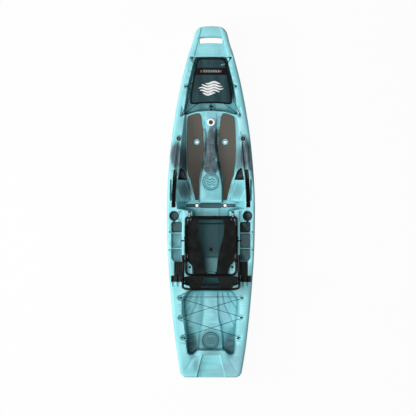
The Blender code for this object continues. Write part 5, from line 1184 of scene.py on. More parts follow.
def hull_finish():
    """Moulded plastic: aqua and smoky where the pigment ran, with painted shade in hollows, recesses, the
    disc's grooves and on the right flank, and a painted highlight on raised edges.
    """
    made = Finish("hull_plastic", 0.42, specular_ior_level=0.3)
    here = made.place()
    x, y, z = made.parts(here)
    both = made.node("ShaderNodeCombineXYZ", None, {0: x.size(), 1: y, 2: z})
    streaks = made.noise(5.0, 5.0, 0.6, made.place((6.0, 1.1, 3.0)), 0.6)
    cloud = made.noise(2.6, 4.0, 0.55, made.place((2.0, 1.0, 2.0)))
    above = z.between(0.075, 0.10)
    # on the flanks the smoke thins out raggedly towards the keel
    low = (z + 0.26 * streaks - 0.13).between(0.03, 0.23)

    def patches(table, outer, inner, ragged=0.0):
        """The strongest of a table's patches, each 1 at its inner reach and 0 at its outer one."""
        strongest = 0.0 * above
        for center_x, center_y, wide, long, amount, side in table:
            away = made.away(center_x, center_y, wide, long, here if side else both)
            strongest = strongest.math("MAXIMUM", (away + ragged).between(outer, inner) * amount)
        return strongest

    # smoke in the plastic, partly painted shade on the right flank, the right aft pocket and the left cockpit
    # wall
    smoke_and_shade = patches(SMOKE_AND_SHADE, 1.6, 0.2, 0.9 * cloud + 1.2 * streaks - 1.05)
    smoke_and_shade = smoke_and_shade * made.attribute("on_top").math("MAXIMUM", low)
    # painted shade along the disc's rings and in its wavy grooves
    rings = 0.0 * above
    for at in DISCS:
        away = made.away(0.0, at, 1.0, 1.0, here)
        rings = rings + away.near(0.081, 0.011) + away.near(0.064, 0.008)
        for row in (-1, 0, 1):
            wave = y - at - WAVE_SPACING * row - WAVE_HEIGHT * x.wave(WAVE_LENGTH)
            rings = rings + wave.near(0.0, 0.0105) * away.between(0.055, 0.048)
    grey = (smoke_and_shade * (0.62 + 0.76 * streaks)).between(0.18, 0.85)
    colour = made.over(
        made.mix(cloud.between(0.36, 0.66), "90dbe2", "7cc6d0"),
        (made.noise(1.7, 2.0, 0.5).between(0.52, 0.72) * 0.45, "92b7c6"),
        (streaks.between(0.56, 0.74) * 0.22, "62a8b4"),
        (y.near(-0.1, 0.75) * 0.34, "5ba4af"),
        (y.between(1.42, 1.6) * 0.4, "a6e6ee"),
        # painted shade in hollows, a painted highlight on raised edges, and painted shade in the aft pockets
        # and the bow well
        (made.attribute("hollow_shade").between(0.0, 1.1) * 0.76, "2e707a"),
        (made.attribute("edge_highlight") * 0.6, "a4ecf2"),
        (patches(DEEPER_AQUA_AND_SHADE, 1.4, 0.6) * above, "2c616a"),
        (grey * 0.94, made.mix(streaks.between(0.35, 0.65), "2b373d", "55626b")),
        (made.noise(70.0, 3.0, 0.6).between(0.55, 0.8) * 0.12, "4a7f89"),
        (rings.math("MINIMUM", 1.0) * above * 0.85, "1f525a"),
        # painted shade, near black, in the narrow sunk places
        (made.attribute("deep_shade") * 0.96, "0a1315"),
    )
    grain = made.noise(420.0, 2.0, 0.5)
    return made.done(grain, 0.12, 0.0006, base_color=colour, roughness=0.34 + 0.14 * cloud)


def plain_finish(name, colour, roughness, darker, scale=40.0, grain=300.0, depth=0.0004):
    """A solid colour with a second shade in soft noise and a fine grain."""
    made = Finish(name, roughness, specular_ior_level=0.2)
    cloud = made.noise(scale, 3.0)
    return made.done(made.noise(grain, 2.0), 0.25, depth, roughness=roughness - 0.06 + 0.12 * cloud,
                     base_color=made.mix(cloud.between(0.35, 0.7), colour, darker))


def foam_finish():
    """Closed-cell foam: warm grey with painted shade towards the seat and along its rim, brushed across and
    finely pitted.
    """
    made = Finish("pad_foam", 0.9, specular_ior_level=0.1)
    x, y, _ = made.parts(made.place())
    wear_and_sheen = made.noise(14.0, 4.0, 0.6, made.place((1.0, 0.35, 1.0)))
    # painted shade: darker aft, where the pad lies deeper in the cockpit, and darker at the rounded rim
    shade = made.over(made.mix(y.between(0.62, 0.05), "605d56", "48433d"),
                      (wear_and_sheen.between(0.5, 0.75) * 0.25, "6c6962"),
                      (made.attribute("edge").between(0.004, 0.0) * 0.5, "2e2a26"))
    pits = made.noise(900.0, 2.0, 0.6) + 0.35 * (x + 0.18 * y).wave(0.0032)
    return made.done(pits, 0.35, 0.0005, base_color=shade)


def net_finish():
    """Knitted net of the bow cover: teal-black yarn in small cells, paler where it is stretched."""
    made = Finish("cover_net", 0.9, specular_ior_level=0.1)
    x, y, _ = made.parts(made.place())
    yarn = x.wave(0.0044).size() * y.wave(0.0036).size()
    tone = made.noise(5.0, 3.0, 0.5, made.place((3.0, 0.5, 1.0)))
    shade = made.over(made.mix(tone.between(0.35, 0.65), "2a4247", "38565c"),
                      (yarn.between(0.35, 0.85) * 0.55, "16282b"))
    return made.done(1 - yarn, 0.5, 0.0008, base_color=shade)


def weave_finish(name, colour, lighter, period=0.0016):
    """Woven strap or cloth by its own UV: plain weave along the run."""
    made = Finish(name, 0.85, specular_ior_level=0.1)
    around, along = made.run()
    threads = along.wave(period) * around.wave(1 / 24)
    wear_and_sheen = made.noise(25.0, 4.0, 0.6)
    shade = made.over(made.mix(wear_and_sheen.between(0.4, 0.75) * 0.8, colour, lighter),
                      (threads.between(0.2, 0.9) * 0.3, lighter))
    return made.done(threads, 0.4, 0.0004, base_color=shade)


def cord_finish():
    """Braided sheath: two sets of strands crossing on a slant, and paler worn places."""
    made = Finish("cord_sheath", 0.8, specular_ior_level=0.15)
    around, along = made.run()
    slant = around * 2.0
    strands = (along / 0.009 + slant).wave(0.5).size() * (along / 0.009 - slant).wave(0.5).size()
    shade = made.over(made.mix(strands.between(0.15, 0.7), "060808", "171c1d"),
                      (made.noise(30.0, 3.0).between(0.5, 0.8) * 0.3, "2a3130"))
    return made.done(strands, 0.6, 0.0006, base_color=shade)


def sling_finish():
    """Black cloth with windows of open net. The window attribute is the distance inside one."""
    made = Finish("sling_cloth", 0.9, specular_ior_level=0.08)
    window, x, y = (made.attribute(name) for name in ("window", "across", "along"))
    inside = window.between(-0.0006, 0.0006)
    weave = x.wave(0.0018) * y.wave(0.0018)
    stitch = window.near(-0.006, 0.0009) * y.wave(0.005).between(-0.2, 0.1)
    cloth = made.over(made.mix(made.noise(9.0, 4.0, 0.6).between(0.4, 0.7), "131615", "212524"),
                      # the back's cloth, where along is above zero, is painted lighter: a painted highlight
                      # where the lamps graze its leaning face
                      (weave.between(0.3, 0.9) * 0.25, "343938"), (y.between(-0.05, 0.0) * 0.55, "363c3a"),
                      (stitch * 0.8, "5a6160"))
    hole = (x.wave(0.0052).size() * y.wave(0.0052).size()).between(0.3, 0.6)
    # opener at the seat's rear, closer at the head of the back
    seen = 0.44 + 0.38 * hole + 0.26 * y.between(-0.5, -0.58) - 0.36 * y.between(0.17, 0.21)
    height = weave * 0.4 + window.near(0.0, 0.0035) * 2.0 - inside * hole * 0.8
    return made.done(height, 0.4, 0.0008, alpha=1 - inside * seen,
                     base_color=made.mix(inside, cloth, made.mix(hole, "131b1c", "2c4a4e")))


def trough_finish():
    """Black rubber lining, painted brown-grey at its front end as a highlight where its floor rises to the
    mouth.
    """
    made = Finish("trough_rubber", 0.6, specular_ior_level=0.1)
    _, y, _ = made.parts(made.place())
    # painted highlight on the rising front end, broken up by noise
    wear_and_sheen = y.between(0.20, 0.27) * made.noise(30.0, 4.0, 0.6, made.place((4.0, 0.6, 1.0))).between(0.3, 0.6)
    return made.done(made.noise(260.0, 2.0), 0.3, 0.0004, roughness=0.5 + 0.2 * wear_and_sheen,
                     base_color=made.mix(wear_and_sheen, "080909", "4c443e"))


def print_finish(name, colour, ground):
    """Screen print on net: the ground shows through in fine worn specks."""
    made = Finish(name, 0.7)
    specks = made.noise(260.0, 3.0, 0.7).between(0.6, 0.72)
    tone = made.noise(60.0, 3.0).between(0.3, 0.7)
    shade = made.over(colour, (tone * 0.3, "b9c0c2"), (specks * 0.7, ground))
    return made.done(specks, 0.2, 0.0003, base_color=shade)


def metal_finish(name, colour, darker, roughness):
    """Turned metal, dulled in patches."""
    made = Finish(name, roughness, metallic=1.0)
    dull = made.noise(160.0, 3.0).between(0.35, 0.7)
    return made.done(made.noise(600.0, 2.0), 0.2, 0.0002, roughness=roughness + 0.2 * dull,
                     base_color=made.mix(dull, colour, darker))


FINISHES = {
    "foam": foam_finish(),
    "net": net_finish(),
    "cord": cord_finish(),
    "nylon": plain_finish("moulded_nylon", "101313", 0.5, "1c2020"),
    "white": plain_finish("white_ring", "f4f7f7", 0.42, "e2e8e8"),
    "brass": metal_finish("brass", "a98a5e", "6d5638", 0.32),
    "cup": plain_finish("cup_nylon", "2c3436", 0.5, "39423f"),
    "rubber": plain_finish("rubber", "0f1212", 0.7, "191c1c"),
    "grip": plain_finish("grip_rubber", "141616", 0.75, "202322", 30.0, 180.0, 0.0012),
    "trough": trough_finish(),
    "tube": plain_finish("tube_paint", "0a0c0c", 0.4, "121414", 12.0, 500.0, 0.0003),
    "sling": sling_finish(),
    "cloth": weave_finish("edge_cloth", "0c0f0f", "1a1e1e"),
    "webbing": weave_finish("strap_webbing", "0e1010", "1e2222", 0.0024),
    "pale_webbing": weave_finish("pale_webbing", "a5c4cc", "bcd6dc", 0.0024),
    "band": weave_finish("cover_band", "101313", "1b1f1f", 0.003),
    "print": print_finish("cover_print", "eef2f2", "2b454a"),
    "red": print_finish("cover_print_red", "c25560", "1a1d1d"),
    "steel": metal_finish("bolt_steel", "c2c2be", "84847f", 0.28),
    "pull": plain_finish("pull_tab", "aab6ba", 0.5, "94a2a7"),
    "tan": plain_finish("tan_ring", "b9a794", 0.6, "a08d7a"),
}
# Finish of each solid that stays, by the first of these words in its name
SOLID_FINISHES = (
    ("cord_lock", "nylon"), ("hook", "nylon"), ("cup", "cup"), ("insert", "brass"),
    ("mount_ring", "white"), ("trough", "trough"), ("rod_rest", "nylon"), ("frame", "tube"),
    ("bolt", "steel"), ("bracket", "nylon"), ("seat_foot", "nylon"), ("plug_ring", "tan"),
    ("plug", "rubber"), ("drain", "nylon"), ("saddle", "nylon"), ("handle", "grip"),
)
for name in nodes:
    for word, finish in SOLID_FINISHES:
        if word in name:
            nodes[name].data.materials.clear()
            nodes[name].data.materials.append(FINISHES[finish])
            break


# Cords

# Each deck hook: x, y and the unit direction that its throat opens to
HOOK_PLACES = {
    f"{name}_{word}": (side * x, y, np.array((side, tilt)) / math.hypot(1.0, tilt))
    for name, (x, y, tilt) in HOOKS.items() for word, side in BOTH
}


def hook_seat(y):
    return float(deck(y)) - (0.012 if y > 0 else 0.022)


def round_hook(place, before, after):
    """Points of a cord that comes from before, rounds the hook and leaves for after."""
    x, y, out = place
    here = np.array((x, y))
    across = np.array((-out[1], out[0]))
    reach = HOOK_WIDTH / 2 + CORD / 2 + 2 * TOUCH
    turn = 1 if (np.array(before) - here) @ across > (np.array(after) - here) @ across else -1
    z = hook_seat(y) + HOOK_BASE + TOUCH + CORD / 2 + FIT
    a = np.radians((-100, -60, -20, 20, 60, 100))[:, None]
    points = here + out * (0.001 + reach * np.cos(a)) - across * turn * reach * np.sin(a)
    return [(*point, z) for point in points]


def between(start, end, rise, steps=3):
    """Points inside a straight run, lifted in the middle."""
    s = np.arange(1, steps + 1)[:, None] / (steps + 1)
    points = np.array(start) + (np.array(end) - np.array(start)) * s
    points[:, 2] += rise * np.sin(math.pi * s[:, 0])
    return list(points)


def stern_route():
    """Over the six stern hooks in two crossings, the later run below the earlier one."""
    order = ("rear_left", "mid_right", "front_left", "front_right", "mid_left", "rear_right")
    route = [HOOK_PLACES[f"stern_hook_{key}"] for key in order]
    rises = (CROSSING_LIFT, CROSSING_LIFT, 0.0, -CROSSING_LIFT, -CROSSING_LIFT)
    points = []
    for i, (x, y, out) in enumerate(route):
        before = route[i - 1][:2] if i > 0 else (x, y - 0.05)
        after = route[i + 1][:2] if i < len(route) - 1 else (x, y - 0.05)
        turn = round_hook((x, y, out), before, after)
        if i > 0:
            points += between(points[-1], turn[0], rises[i - 1])
        points += turn
    return points


def bow_route():
    """From the lock out along the hem, round the three hooks of each side and across the front."""
    gap = CORD / 2 + CORD_GAP
    hem = COVER_EDGE[-1][0] - gap
    level = float(deck(LOCK_PLACE)) - COVER_DROP

    def side_route(word, side):
        def edge(y):
            return side * (float(straight(COVER_EDGE, 1, y)) + gap), y, float(deck(y)) - COVER_DROP

        rear, mid, front = (HOOK_PLACES[f"bow_hook_{row}_{word}"] for row in ("rear", "mid", "front"))
        head = (side * 0.11, COVER_EDGE[0][0] + gap)
        start = ((STRAND_SPACING / 2, LOCK_PLACE - 0.03), (STRAND_SPACING / 2, LOCK_PLACE + 0.02),
                 (0.012, LOCK_PLACE + 0.035), (0.04, hem + COVER_ARCH * 0.94),
                 (0.085, hem + COVER_ARCH * 0.78), (0.125, hem + COVER_ARCH * 0.5))
        return [
            *((side * x, y, level) for x, y in start),
            *round_hook(rear, (side * 0.12, hem), edge(1.05)[:2]), edge(1.05), edge(1.08), edge(1.12),
            *round_hook(mid, edge(1.12)[:2], edge(1.19)[:2]), edge(1.19), edge(1.27), edge(1.37),
            *round_hook(front, edge(1.37)[:2], head), (*head, float(deck(head[1])) - COVER_DROP),
        ]

    return side_route("right", 1) + side_route("left", -1)[::-1]


def knot(center, radius):
    """Stopper knot: a trefoil pulled tight, by sines and cosines of one and two turns."""
    t = np.linspace(0, 2 * math.pi, 41)[:-1]
    trefoil = spots(np.sin(t) + 2 * np.sin(2 * t), np.cos(t) - 2 * np.cos(2 * t), -np.sin(3 * t))
    return swept(center + trefoil * radius / 3, circle(CORD * 0.44, 7), closed=True, up=(0.13, 0.21, 0.97))


def stern_knots(path):
    """A knot and a short tail at both ends of the stern cord."""
    pieces, add = trimmings("shock_cord")
    for word, spot, near in (("left", path[0], path[1]), ("right", path[-1], path[-2])):
        away = unit(spot - near)
        tail = spot + away * np.linspace(0.006, 0.020, 5)[:, None]
        add(f"stern_knot_{word}", knot(spot + away * 0.003, 0.0062), "cord")
        add(f"stern_knot_{word}_tail", tube(tail, CORD / 2 * 0.96), "cord")
    return pieces


def bow_bell(path):
    """The bell that holds both ends of the bow cord, behind its lock."""
    profile = [(0.0, -0.011), (0.0085, -0.011), (0.0092, -0.009), (0.0075, -0.002), (0.0055, 0.006),
               (0.0052, 0.009), (0.0, 0.0095)]
    bell = turned(profile, (0.0, LOCK_PLACE - 0.033, path[0][2]), 16, (0, 1, 0))
    return [piece("bow_cord_bell", bell, "black_nylon", "nylon"), "cord_lock_body", "cord_lock_plunger"]


def make_cord(name, solid, route, make_ends):
    path = smooth_path(route, 0.004)
    cord = piece(name, tube(path, CORD / 2), "shock_cord", "cord")
    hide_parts(solid)
    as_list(make_ends(path))


# Bow cover

def cover_surface(x, y):
    """Middle of the cover: a crown across it, gathers at the front and long folds aft."""
    signed = x / straight(COVER_EDGE, 1, y)
    s = np.clip(np.abs(signed), 0, 1)
    gathers = 0.0020 * ease((y - 1.345) / 0.04) * np.cos(2 * math.pi * signed * 6.5) * (1 - s**8)
    folds = 0.0011 * np.sin(2 * math.pi * (signed * 2.6 + 0.12)) * ease((1.26 - y) / 0.12) * (1 - s**6)
    for line in (-0.62, -0.24, 0.33, 0.7):
        folds = folds + 0.0012 * hump(signed - line, 0.035) * ease((1.265 - y) / 0.03)
    return deck(y) - COVER_DROP + COVER_CROWN * (1 - s**2) + gathers + folds


def ribbon(path, wide, low, high):
    """Tapered strip on the cover: a line in the plan, widened sideways and laid on the surface."""
    tangent = unit(np.gradient(path, axis=0))
    across = spots(tangent[:, 1], -tangent[:, 0])
    s = np.linspace(-1, 1, 7)[None, :, None]
    wide = wide * np.ones(len(path))
    x, y = np.moveaxis(path[:, None] + across[:, None] * s * wide[:, None, None], -1, 0)
    z = cover_surface(x, y)
    return slab(spots(x, y, z + high), spots(x, y, z + low))


def hem_line(inset=0.008):
    """Closed line inside the cover's edge, rounded at its corners."""
    y = np.linspace(0.992, 1.42, 60)
    x = straight(COVER_EDGE, 1, y) - inset
    aft = np.linspace(-0.185, 0.185, 34)
    loop = np.concatenate([
        spots(x, y), spots(np.linspace(0.105, -0.105, 22), 1.4305), spots(-x, y)[::-1],
        spots(aft, 0.973 + inset + (COVER_ARCH - 0.006) * (1 - (aft / 0.196) ** 2)),
    ])
    closed = np.concatenate([loop, loop[:1]])
    run = running(closed)
    at = np.linspace(0, run[-1], 261)[:-1]
    loop = spots(*(np.interp(at, run, closed[:, k]) for k in (0, 1)))
    for _ in range(5):
        loop = (np.roll(loop, 1, axis=0) + 2 * loop + np.roll(loop, -1, axis=0)) / 4
    x, y = loop.T
    across = np.minimum(np.abs(x) / straight(COVER_EDGE, 1, y), 1)
    return spots(x, y, deck(y) - COVER_DROP + COVER_CROWN * (1 - across**2))


def make_bow_cover():
    """Crowned net with a bound edge, a black band across it and a plain printed motif."""
    rows = packed_ends(COVER_AFT, COVER_LENGTH, 150)[:, None]
    s = np.sin(np.linspace(-math.pi / 2, math.pi / 2, 111) * 0.92)[None] / math.sin(math.pi / 2 * 0.92)
    x = straight(COVER_EDGE, 1, rows) * s
    y = rows + COVER_ARCH * (1 - s**2) * np.clip((1.12 - rows) / (1.12 - COVER_AFT), 0, 1)
    # measured on the row's own width, so that a fold keeps its line
    points = spots(x, y, cover_surface(x, rows) + deck(y) - deck(rows))
    cover = piece("bow_net", thick(points, 0.0016), "cover_mesh", "net")
    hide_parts("bow_cover")
    extra, add = trimmings("cover_mesh")
    add("cover_binding", swept(hem_line(), flat_profile(0.0184, 0.0052, 14, (0.6, 1)), closed=True), "band")

    y = np.linspace(1.270, 1.342, 13)[:, None]
    x = straight(COVER_EDGE, 1, y) * np.linspace(-0.97, 0.97, 60)[None]
    z = cover_surface(x, y)
    rise = 0.0016 * ease((0.036 - np.abs(y - BAND_PLACE)) / 0.004)
    add("cover_band", slab(spots(x, y, z + 0.0009 + rise), spots(x, y, z + 0.0004)), "band")

    # print: a row of chevrons between two bars on the band, and five tapered waves on the net
    t = 2 * np.linspace(0, 1, 25) - 1
    for k, middle in enumerate(np.linspace(-0.072, 0.072, 7)):
        path = spots(middle + 0.008 * (1 - np.abs(t)), BAND_PLACE + 0.013 * t)
        add(f"cover_chevron_{k}", ribbon(path, 0.0026, 0.0024, 0.0029), "print")
    for word, side in BOTH:
        path = spots(side * 0.098, BAND_PLACE + 0.012 * t)
        add(f"cover_bar_{word}", ribbon(path, 0.004, 0.0024, 0.0029), "red")
    t = np.linspace(0, 1, 60)
    for k, (shift, length, middle) in enumerate(COVER_WAVES):
        x = shift + length * (t - 0.5)
        path = spots(x, middle + 0.009 * np.sin(2 * math.pi * x / 0.125))
        wide = 0.0098 * np.sin(math.pi * t) ** 0.5 + 0.0004
        add(f"cover_wave_{k}", ribbon(path, wide, 0.0006, 0.0012), "print")
    at = np.linspace(-1, 1, 9)
    x = 0.119 + 0.021 * at
    y = 1.3725 + 0.006 * at
    path = spots(x, y, cover_surface(x, y) + 0.0034)
    scale = 0.55 + 0.45 * np.sqrt(1 - at**2 * 0.9)
    add("cover_pull", swept(path, circle(0.0042, 10, 0.45), scale=scale), "pull")


# Foot pads

def make_foot_pad(word, side):
    """Foam pad on the sloping floor: soft edges by a quarter circle, a round hole at the scupper."""
    table = sorted(PAD_OUTLINE)
    rows = packed_ends(table[0][0], table[-1][0] - table[0][0], 230)
    inner, outer = (straight(table, k, rows)[:, None] for k in (1, 2))
    x = inner + (outer - inner) * packed_ends(0, 1, 56)[None]
    y = rows[:, None] + 0 * x
    outline = np.array([(a, at) for at, a, b in table] + [(b, at) for at, a, b in reversed(table)])
    holes = np.zeros((x.shape[0] - 1, x.shape[1] - 1), bool)
    open_hole(x, y, holes, PAD_HOLE, SCUPPERS[0])
    low = straight(COCKPIT, 3, y) + FIT
    edge = np.maximum(np.minimum(-gap_to(outline, x, y), gap_to_ring(x, y, SCUPPERS[0], PAD_HOLE)), 0)
    top = low + PAD_THICKNESS - round_corner(edge, 0.0028)
    pad = piece(f"standing_pad_{word}", slab(spots(x, y, top), spots(x, y, low), holes), "foot_pad", "foam",
                values={"edge": edge}, mirror=side < 0)
    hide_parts(f"foot_pad_{word}")


# Seat

def sling_windows(y, x, strips):
    """Distance inside the nearest net window. A strip is a table of (place, half width)."""
    return np.maximum.reduce([np.full(np.shape(x), -1.0)] + [
        np.minimum(straight(table, 1, y) - np.abs(x), np.minimum(y - min(table)[0], max(table)[0] - y))
        for table in strips])


def make_seat_sling():
    """Cloth stretched across the seat's tube: drawn in at the corners and arched at the back."""
    front = SEAT_FRONT - TUBE - TOUCH
    rear = SEAT_REAR + TUBE + TOUCH
    bolt = (front - PIVOT) / (front - rear)
    shape = (
        (0.0, 0.190), (0.02, 0.196), (0.045, 0.211), (0.07, 0.228), (0.085, 0.2345), (0.1, 0.238),
        (0.4, 0.238), (bolt - 0.035, 0.238), (bolt - 0.022, 0.2335), (bolt + 0.022, 0.2335),
        (bolt + 0.035, 0.238), (0.755, 0.236), (0.79, 0.222), (0.83, 0.200), (0.87, 0.186), (0.91, 0.176),
        (0.95, 0.169), (1.0, 0.164),
    )
    v = np.linspace(1, 0, 170)
    s = np.linspace(-1, 1, 140)[None]
    along = v[:, None]
    x = straight(shape, 1, along) * s
    arch = 0.020 * np.sqrt(np.clip(1 - (x / 0.05) ** 2, 0, 1)) * ease((along - 0.86) / 0.14)
    y = front - (front - rear) * along + arch
    folds = 0.0013 * np.sin(2 * math.pi * (np.abs(x) * 11 + y * 5)) * ease((np.abs(s) - 0.35) / 0.4)
    folds = folds * np.sin(math.pi * along) * (1 - np.abs(s) ** 6)
    z = SEAT_LEVEL - SLING_SAG * (1 - s**2) * np.sin(math.pi * along) + folds
    points = spots(x, y, z)
    sling = piece("seat_cloth", thick(points, SLING_THICKNESS), "sling_cloth", "sling", "seat_base",
                  values={"window": sling_windows(y, x, SEAT_WINDOWS), "across": x, "along": y})
    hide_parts("seat_sling")
    extra, add = trimmings("sling_cloth", "seat_base")
    for word, side in BOTH:
        column = points[:, 0 if side < 0 else -1]
        for part, low, high in (("front", 0.0, 0.125), ("rear", bolt + 0.04, 1.0)):
            add(f"seat_piping_{part}_{word}", tube(column[(v >= low) & (v <= high)], 0.0021), "cloth")
        for part, start, end in (("front", -0.232, -0.512), ("rear", -0.572, -0.602)):
            at = np.linspace(start, end, 60)
            scale = 1 + 0.018 * np.sin(at * 190) + 0.014 * np.sin(at * 83 + 1) - 0.05 * hump(at + 0.37, 0.028)
            sleeve = swept(spots(side * SEAT_HALF, at, SEAT_LEVEL), SLEEVE, scale=scale)
            add(f"seat_sleeve_{part}_{word}", sleeve, "cloth")
    for part, place, half in (("front", SEAT_FRONT, 0.206), ("rear", SEAT_REAR, 0.160)):
        at = np.linspace(-half, half, 60)
        sleeve = swept(spots(at, place, SEAT_LEVEL), SLEEVE, scale=1 + 0.016 * np.sin(at * 170))
        add(f"seat_sleeve_{part}_bar", sleeve, "cloth")
    add("seat_piping_arc", tube(points[0, np.abs(x[0]) < 0.052], 0.0024), "cloth")


def back_point(along, x, forward):
    """Points of the back's plane at distances up from its elbow, as one array."""
    return spots(x, BACK_ELBOW[0] - along * math.sin(LEAN) + forward * math.cos(LEAN),
                 BACK_ELBOW[1] + along * math.cos(LEAN) + forward * math.sin(LEAN))


def make_back_sling():
    """Cloth stretched over the back's tube, bowed aft in the middle and cut away at its upper corners."""
    height = BACK_HEIGHT - TUBE - TOUCH - BACK_CLOTH_LOW
    v = np.linspace(0, 1, 120)
    s = np.linspace(-1, 1, 130)[None]
    x = straight(BACK_SHAPE, 1, v)[:, None] * s
    along = v[:, None] + 0 * x
    folds = 0.0012 * np.sin(2 * math.pi * (np.abs(x) * 13 + along * 1.7)) * (1 - s**6) * np.abs(s)
    bow = -SLING_SAG * (1 - s**2) * np.sin(math.pi * along) + folds * np.sin(math.pi * along)
    points = back_point(BACK_CLOTH_LOW + height * along, x, bow)
    window = np.minimum(sling_windows(along, x, BACK_WINDOWS), 0.02)
    sling = piece("back_cloth", thick(points, SLING_THICKNESS), "sling_cloth", "sling", "seat_back",
                  values={"window": window, "across": x, "along": along * height})
    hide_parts("back_sling")
    extra, add = trimmings("sling_cloth", "seat_back")
    axis = (0.0, math.cos(LEAN), math.sin(LEAN))
    for word, side in BOTH:
        column = points[:, 0 if side < 0 else -1]
        for part, start, end in (("low", 0.0, 0.22), ("high", 0.62, 1.0)):
            piping = tube(column[(v >= start) & (v <= end)], 0.0021, up=axis)
            add(f"back_piping_{part}_{word}", piping, "cloth")
        # tie from the cloth's cut edge to the post
        tie = np.array([(0.219, -0.004), (0.236, 0.002), (0.256, 0.011), (0.272, 0.0145), (0.288, 0.0135)])
        line = smooth_path(back_point(0.262, side * tie[:, 0], tie[:, 1]), 0.002)
        add(f"back_tie_{word}", swept(line, flat_profile(0.0016, 0.022), up=axis), "webbing", "webbing")
        at = np.linspace(0.12, 0.19, 30)
        scale = 1 + 0.018 * np.sin(at * 190)
        sleeve = swept(back_point(at, side * BACK_X, 0.0), SLEEVE, scale=scale, up=axis)
        add(f"back_sleeve_{word}", sleeve, "cloth")
    at = np.linspace(-0.196, 0.196, 60)
    sleeve = swept(back_point(BACK_HEIGHT, at, 0.0), SLEEVE, scale=1 + 0.014 * np.sin(at * 170))
    add("back_sleeve_bar", sleeve, "cloth")


def make_recline_strap(word, side):
    """Webbing from the seat's side tube up to the back's leg."""
    x = side * 0.2653
    start = np.array((x, -0.392, 0.333))
    end = back_point(0.46 * BACK_HEIGHT, x, 0.004)
    path = start + (end - start) * np.linspace(0, 1, 80)[:, None]
    shape = swept(path, flat_profile(0.02, 0.0017), up=(1, 0, 0))
    strap = piece(f"recline_webbing_{word}", shape, "webbing", "webbing", None)
    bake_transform(strap)
    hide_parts(f"recline_strap_{word}")


# Fittings

def make_rod_pad(word, side):
    """Ribbed rubber pad: five lengthwise ribs by a raised cosine, with rows of dimples."""
    low_x, high_x, low_y, high_y = ROD_PAD
    x, y = np.meshgrid(low_x + (high_x - low_x) * np.linspace(0, 1, 73),
                       low_y + (high_y - low_y) * np.linspace(0, 1, 100))
    gap = gap_to_box(x, y, *ROD_PAD, 0.006)
    edge = np.maximum(-gap, 0)
    middle_x, middle_y = (low_x + high_x) / 2, (low_y + high_y) / 2
    pull = np.maximum(gap, 0) / np.maximum(np.hypot(x - middle_x, y - middle_y), 1e-9)
    x = x - (x - middle_x) * pull
    y = y - (y - middle_y) * pull
    across = (x - middle_x) / RIB_SPACING
    ribs = 0.5 + 0.5 * np.cos(2 * math.pi * across)
    dimples = hump(np.hypot((across + 0.5) % 1 - 0.5, ((y - middle_y) / DIMPLE_SPACING) % 1 - 0.5), 0.22)
    inside = ease((edge - 0.006) / 0.004)
    top = 0.312 - round_corner(edge, 0.003) - 0.0026 * inside * (1 - ribs) - 0.0022 * inside * dimples
    pad = piece(f"ribbed_pad_{word}", slab(spots(x, y, top), spots(x, y, 0.303)), "black_rubber", "rubber",
                mirror=side < 0)
    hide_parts(f"rod_pad_{word}")


def screw(name, center, radius, height, finish="steel", axis=UP):
    """Domed head with a round socket in its middle."""
    dome = [(radius * math.cos(a), height * (0.15 + 0.85 * math.sin(a))) for a in np.radians((0, 20, 40, 60))]
    hole = radius * 0.4
    profile = [(0.0, -0.001), (radius, -0.001), *dome, (hole, height), (hole * 0.92, height * 0.45),
               (0.0, height * 0.4)]
    slot = "bolt_steel" if finish == "steel" else "black_nylon"
    piece(name, turned(profile, center, 18, axis), slot, finish)


def make_screws():
    lip = FIT + HOOK_BASE + CORD + 2 * TOUCH + FIT + 0.0035
    for name, (x, y, out) in HOOK_PLACES.items():
        spot = np.array((x, y)) + out * 0.002
        screw(f"{name}_screw", (*spot, hook_seat(y) + lip), 0.0034, 0.0016)
    for word, side in BOTH:
        for row, way in (("front", 1), ("rear", -1)):
            x, y = 0.4155, HANDLE_PLACE + way * HANDLE_SPACING / 2
            z = float(hull_top(np.array([x]), np.array([y]))[0])
            lean = unit(np.array((side * 0.45, 0.0, 0.89)))
            screw(f"saddle_bolt_{row}_{word}", (side * x, y, z - 0.0005), 0.008, 0.0035, "nylon", lean)
        screw(f"rod_pad_screw_{word}", (side * 0.3585, -0.7185, 0.3112), 0.004, 0.0015)


def make_bracket_strap(word, side):
    """Short pale strap over the bracket's eye and down its slope, and the tongue behind the eye."""
    over = arc(75, 20, 8, (SEAT_FRONT, SEAT_LEVEL), 0.0205)
    down = [(-0.1275, 0.3235), (-0.122, 0.3212), (-0.115, 0.3202), (-0.109, 0.3193)]
    y, z = np.concatenate([over, down]).T
    path = smooth_path(spots(side * 0.217, y, z), 0.002)
    piece(f"bracket_strap_{word}", swept(path, flat_profile(0.016, 0.0016)), "webbing", "pale_webbing")
    # moulded tongue, wider aft
    t = np.linspace(0, 1, 14)[:, None]
    x = 0.2185 + (0.003 + 0.015 * t**0.8) * np.linspace(-1, 1, 9)[None]
    tongue = thick(spots(x, -0.169 - 0.036 * t, SEAT_LEVEL - 0.006 - 0.003 * t**2), 0.003)
    piece(f"bracket_tongue_{word}", tongue, "black_nylon", "nylon", mirror=side < 0)


def make_tie_loop(word, side):
    """Webbing loop round the seat's side tube, with its free end lying on the deck."""
    over = arc(150, -25, 12, (SEAT_HALF, SEAT_LEVEL), 0.0148)
    down = [(0.2675, 0.317), (0.272, 0.3125), (0.280, 0.3114), (0.290, 0.3116), (0.2995, 0.3114)]
    x, z = np.concatenate([over, down]).T
    path = smooth_path(spots(side * x, -0.3865, z), 0.002)
    loop = swept(path, flat_profile(0.0016, 0.013), up=(0, 1, 0))
    piece(f"tie_loop_{word}", loop, "webbing", "webbing", "seat_base")


# Stage

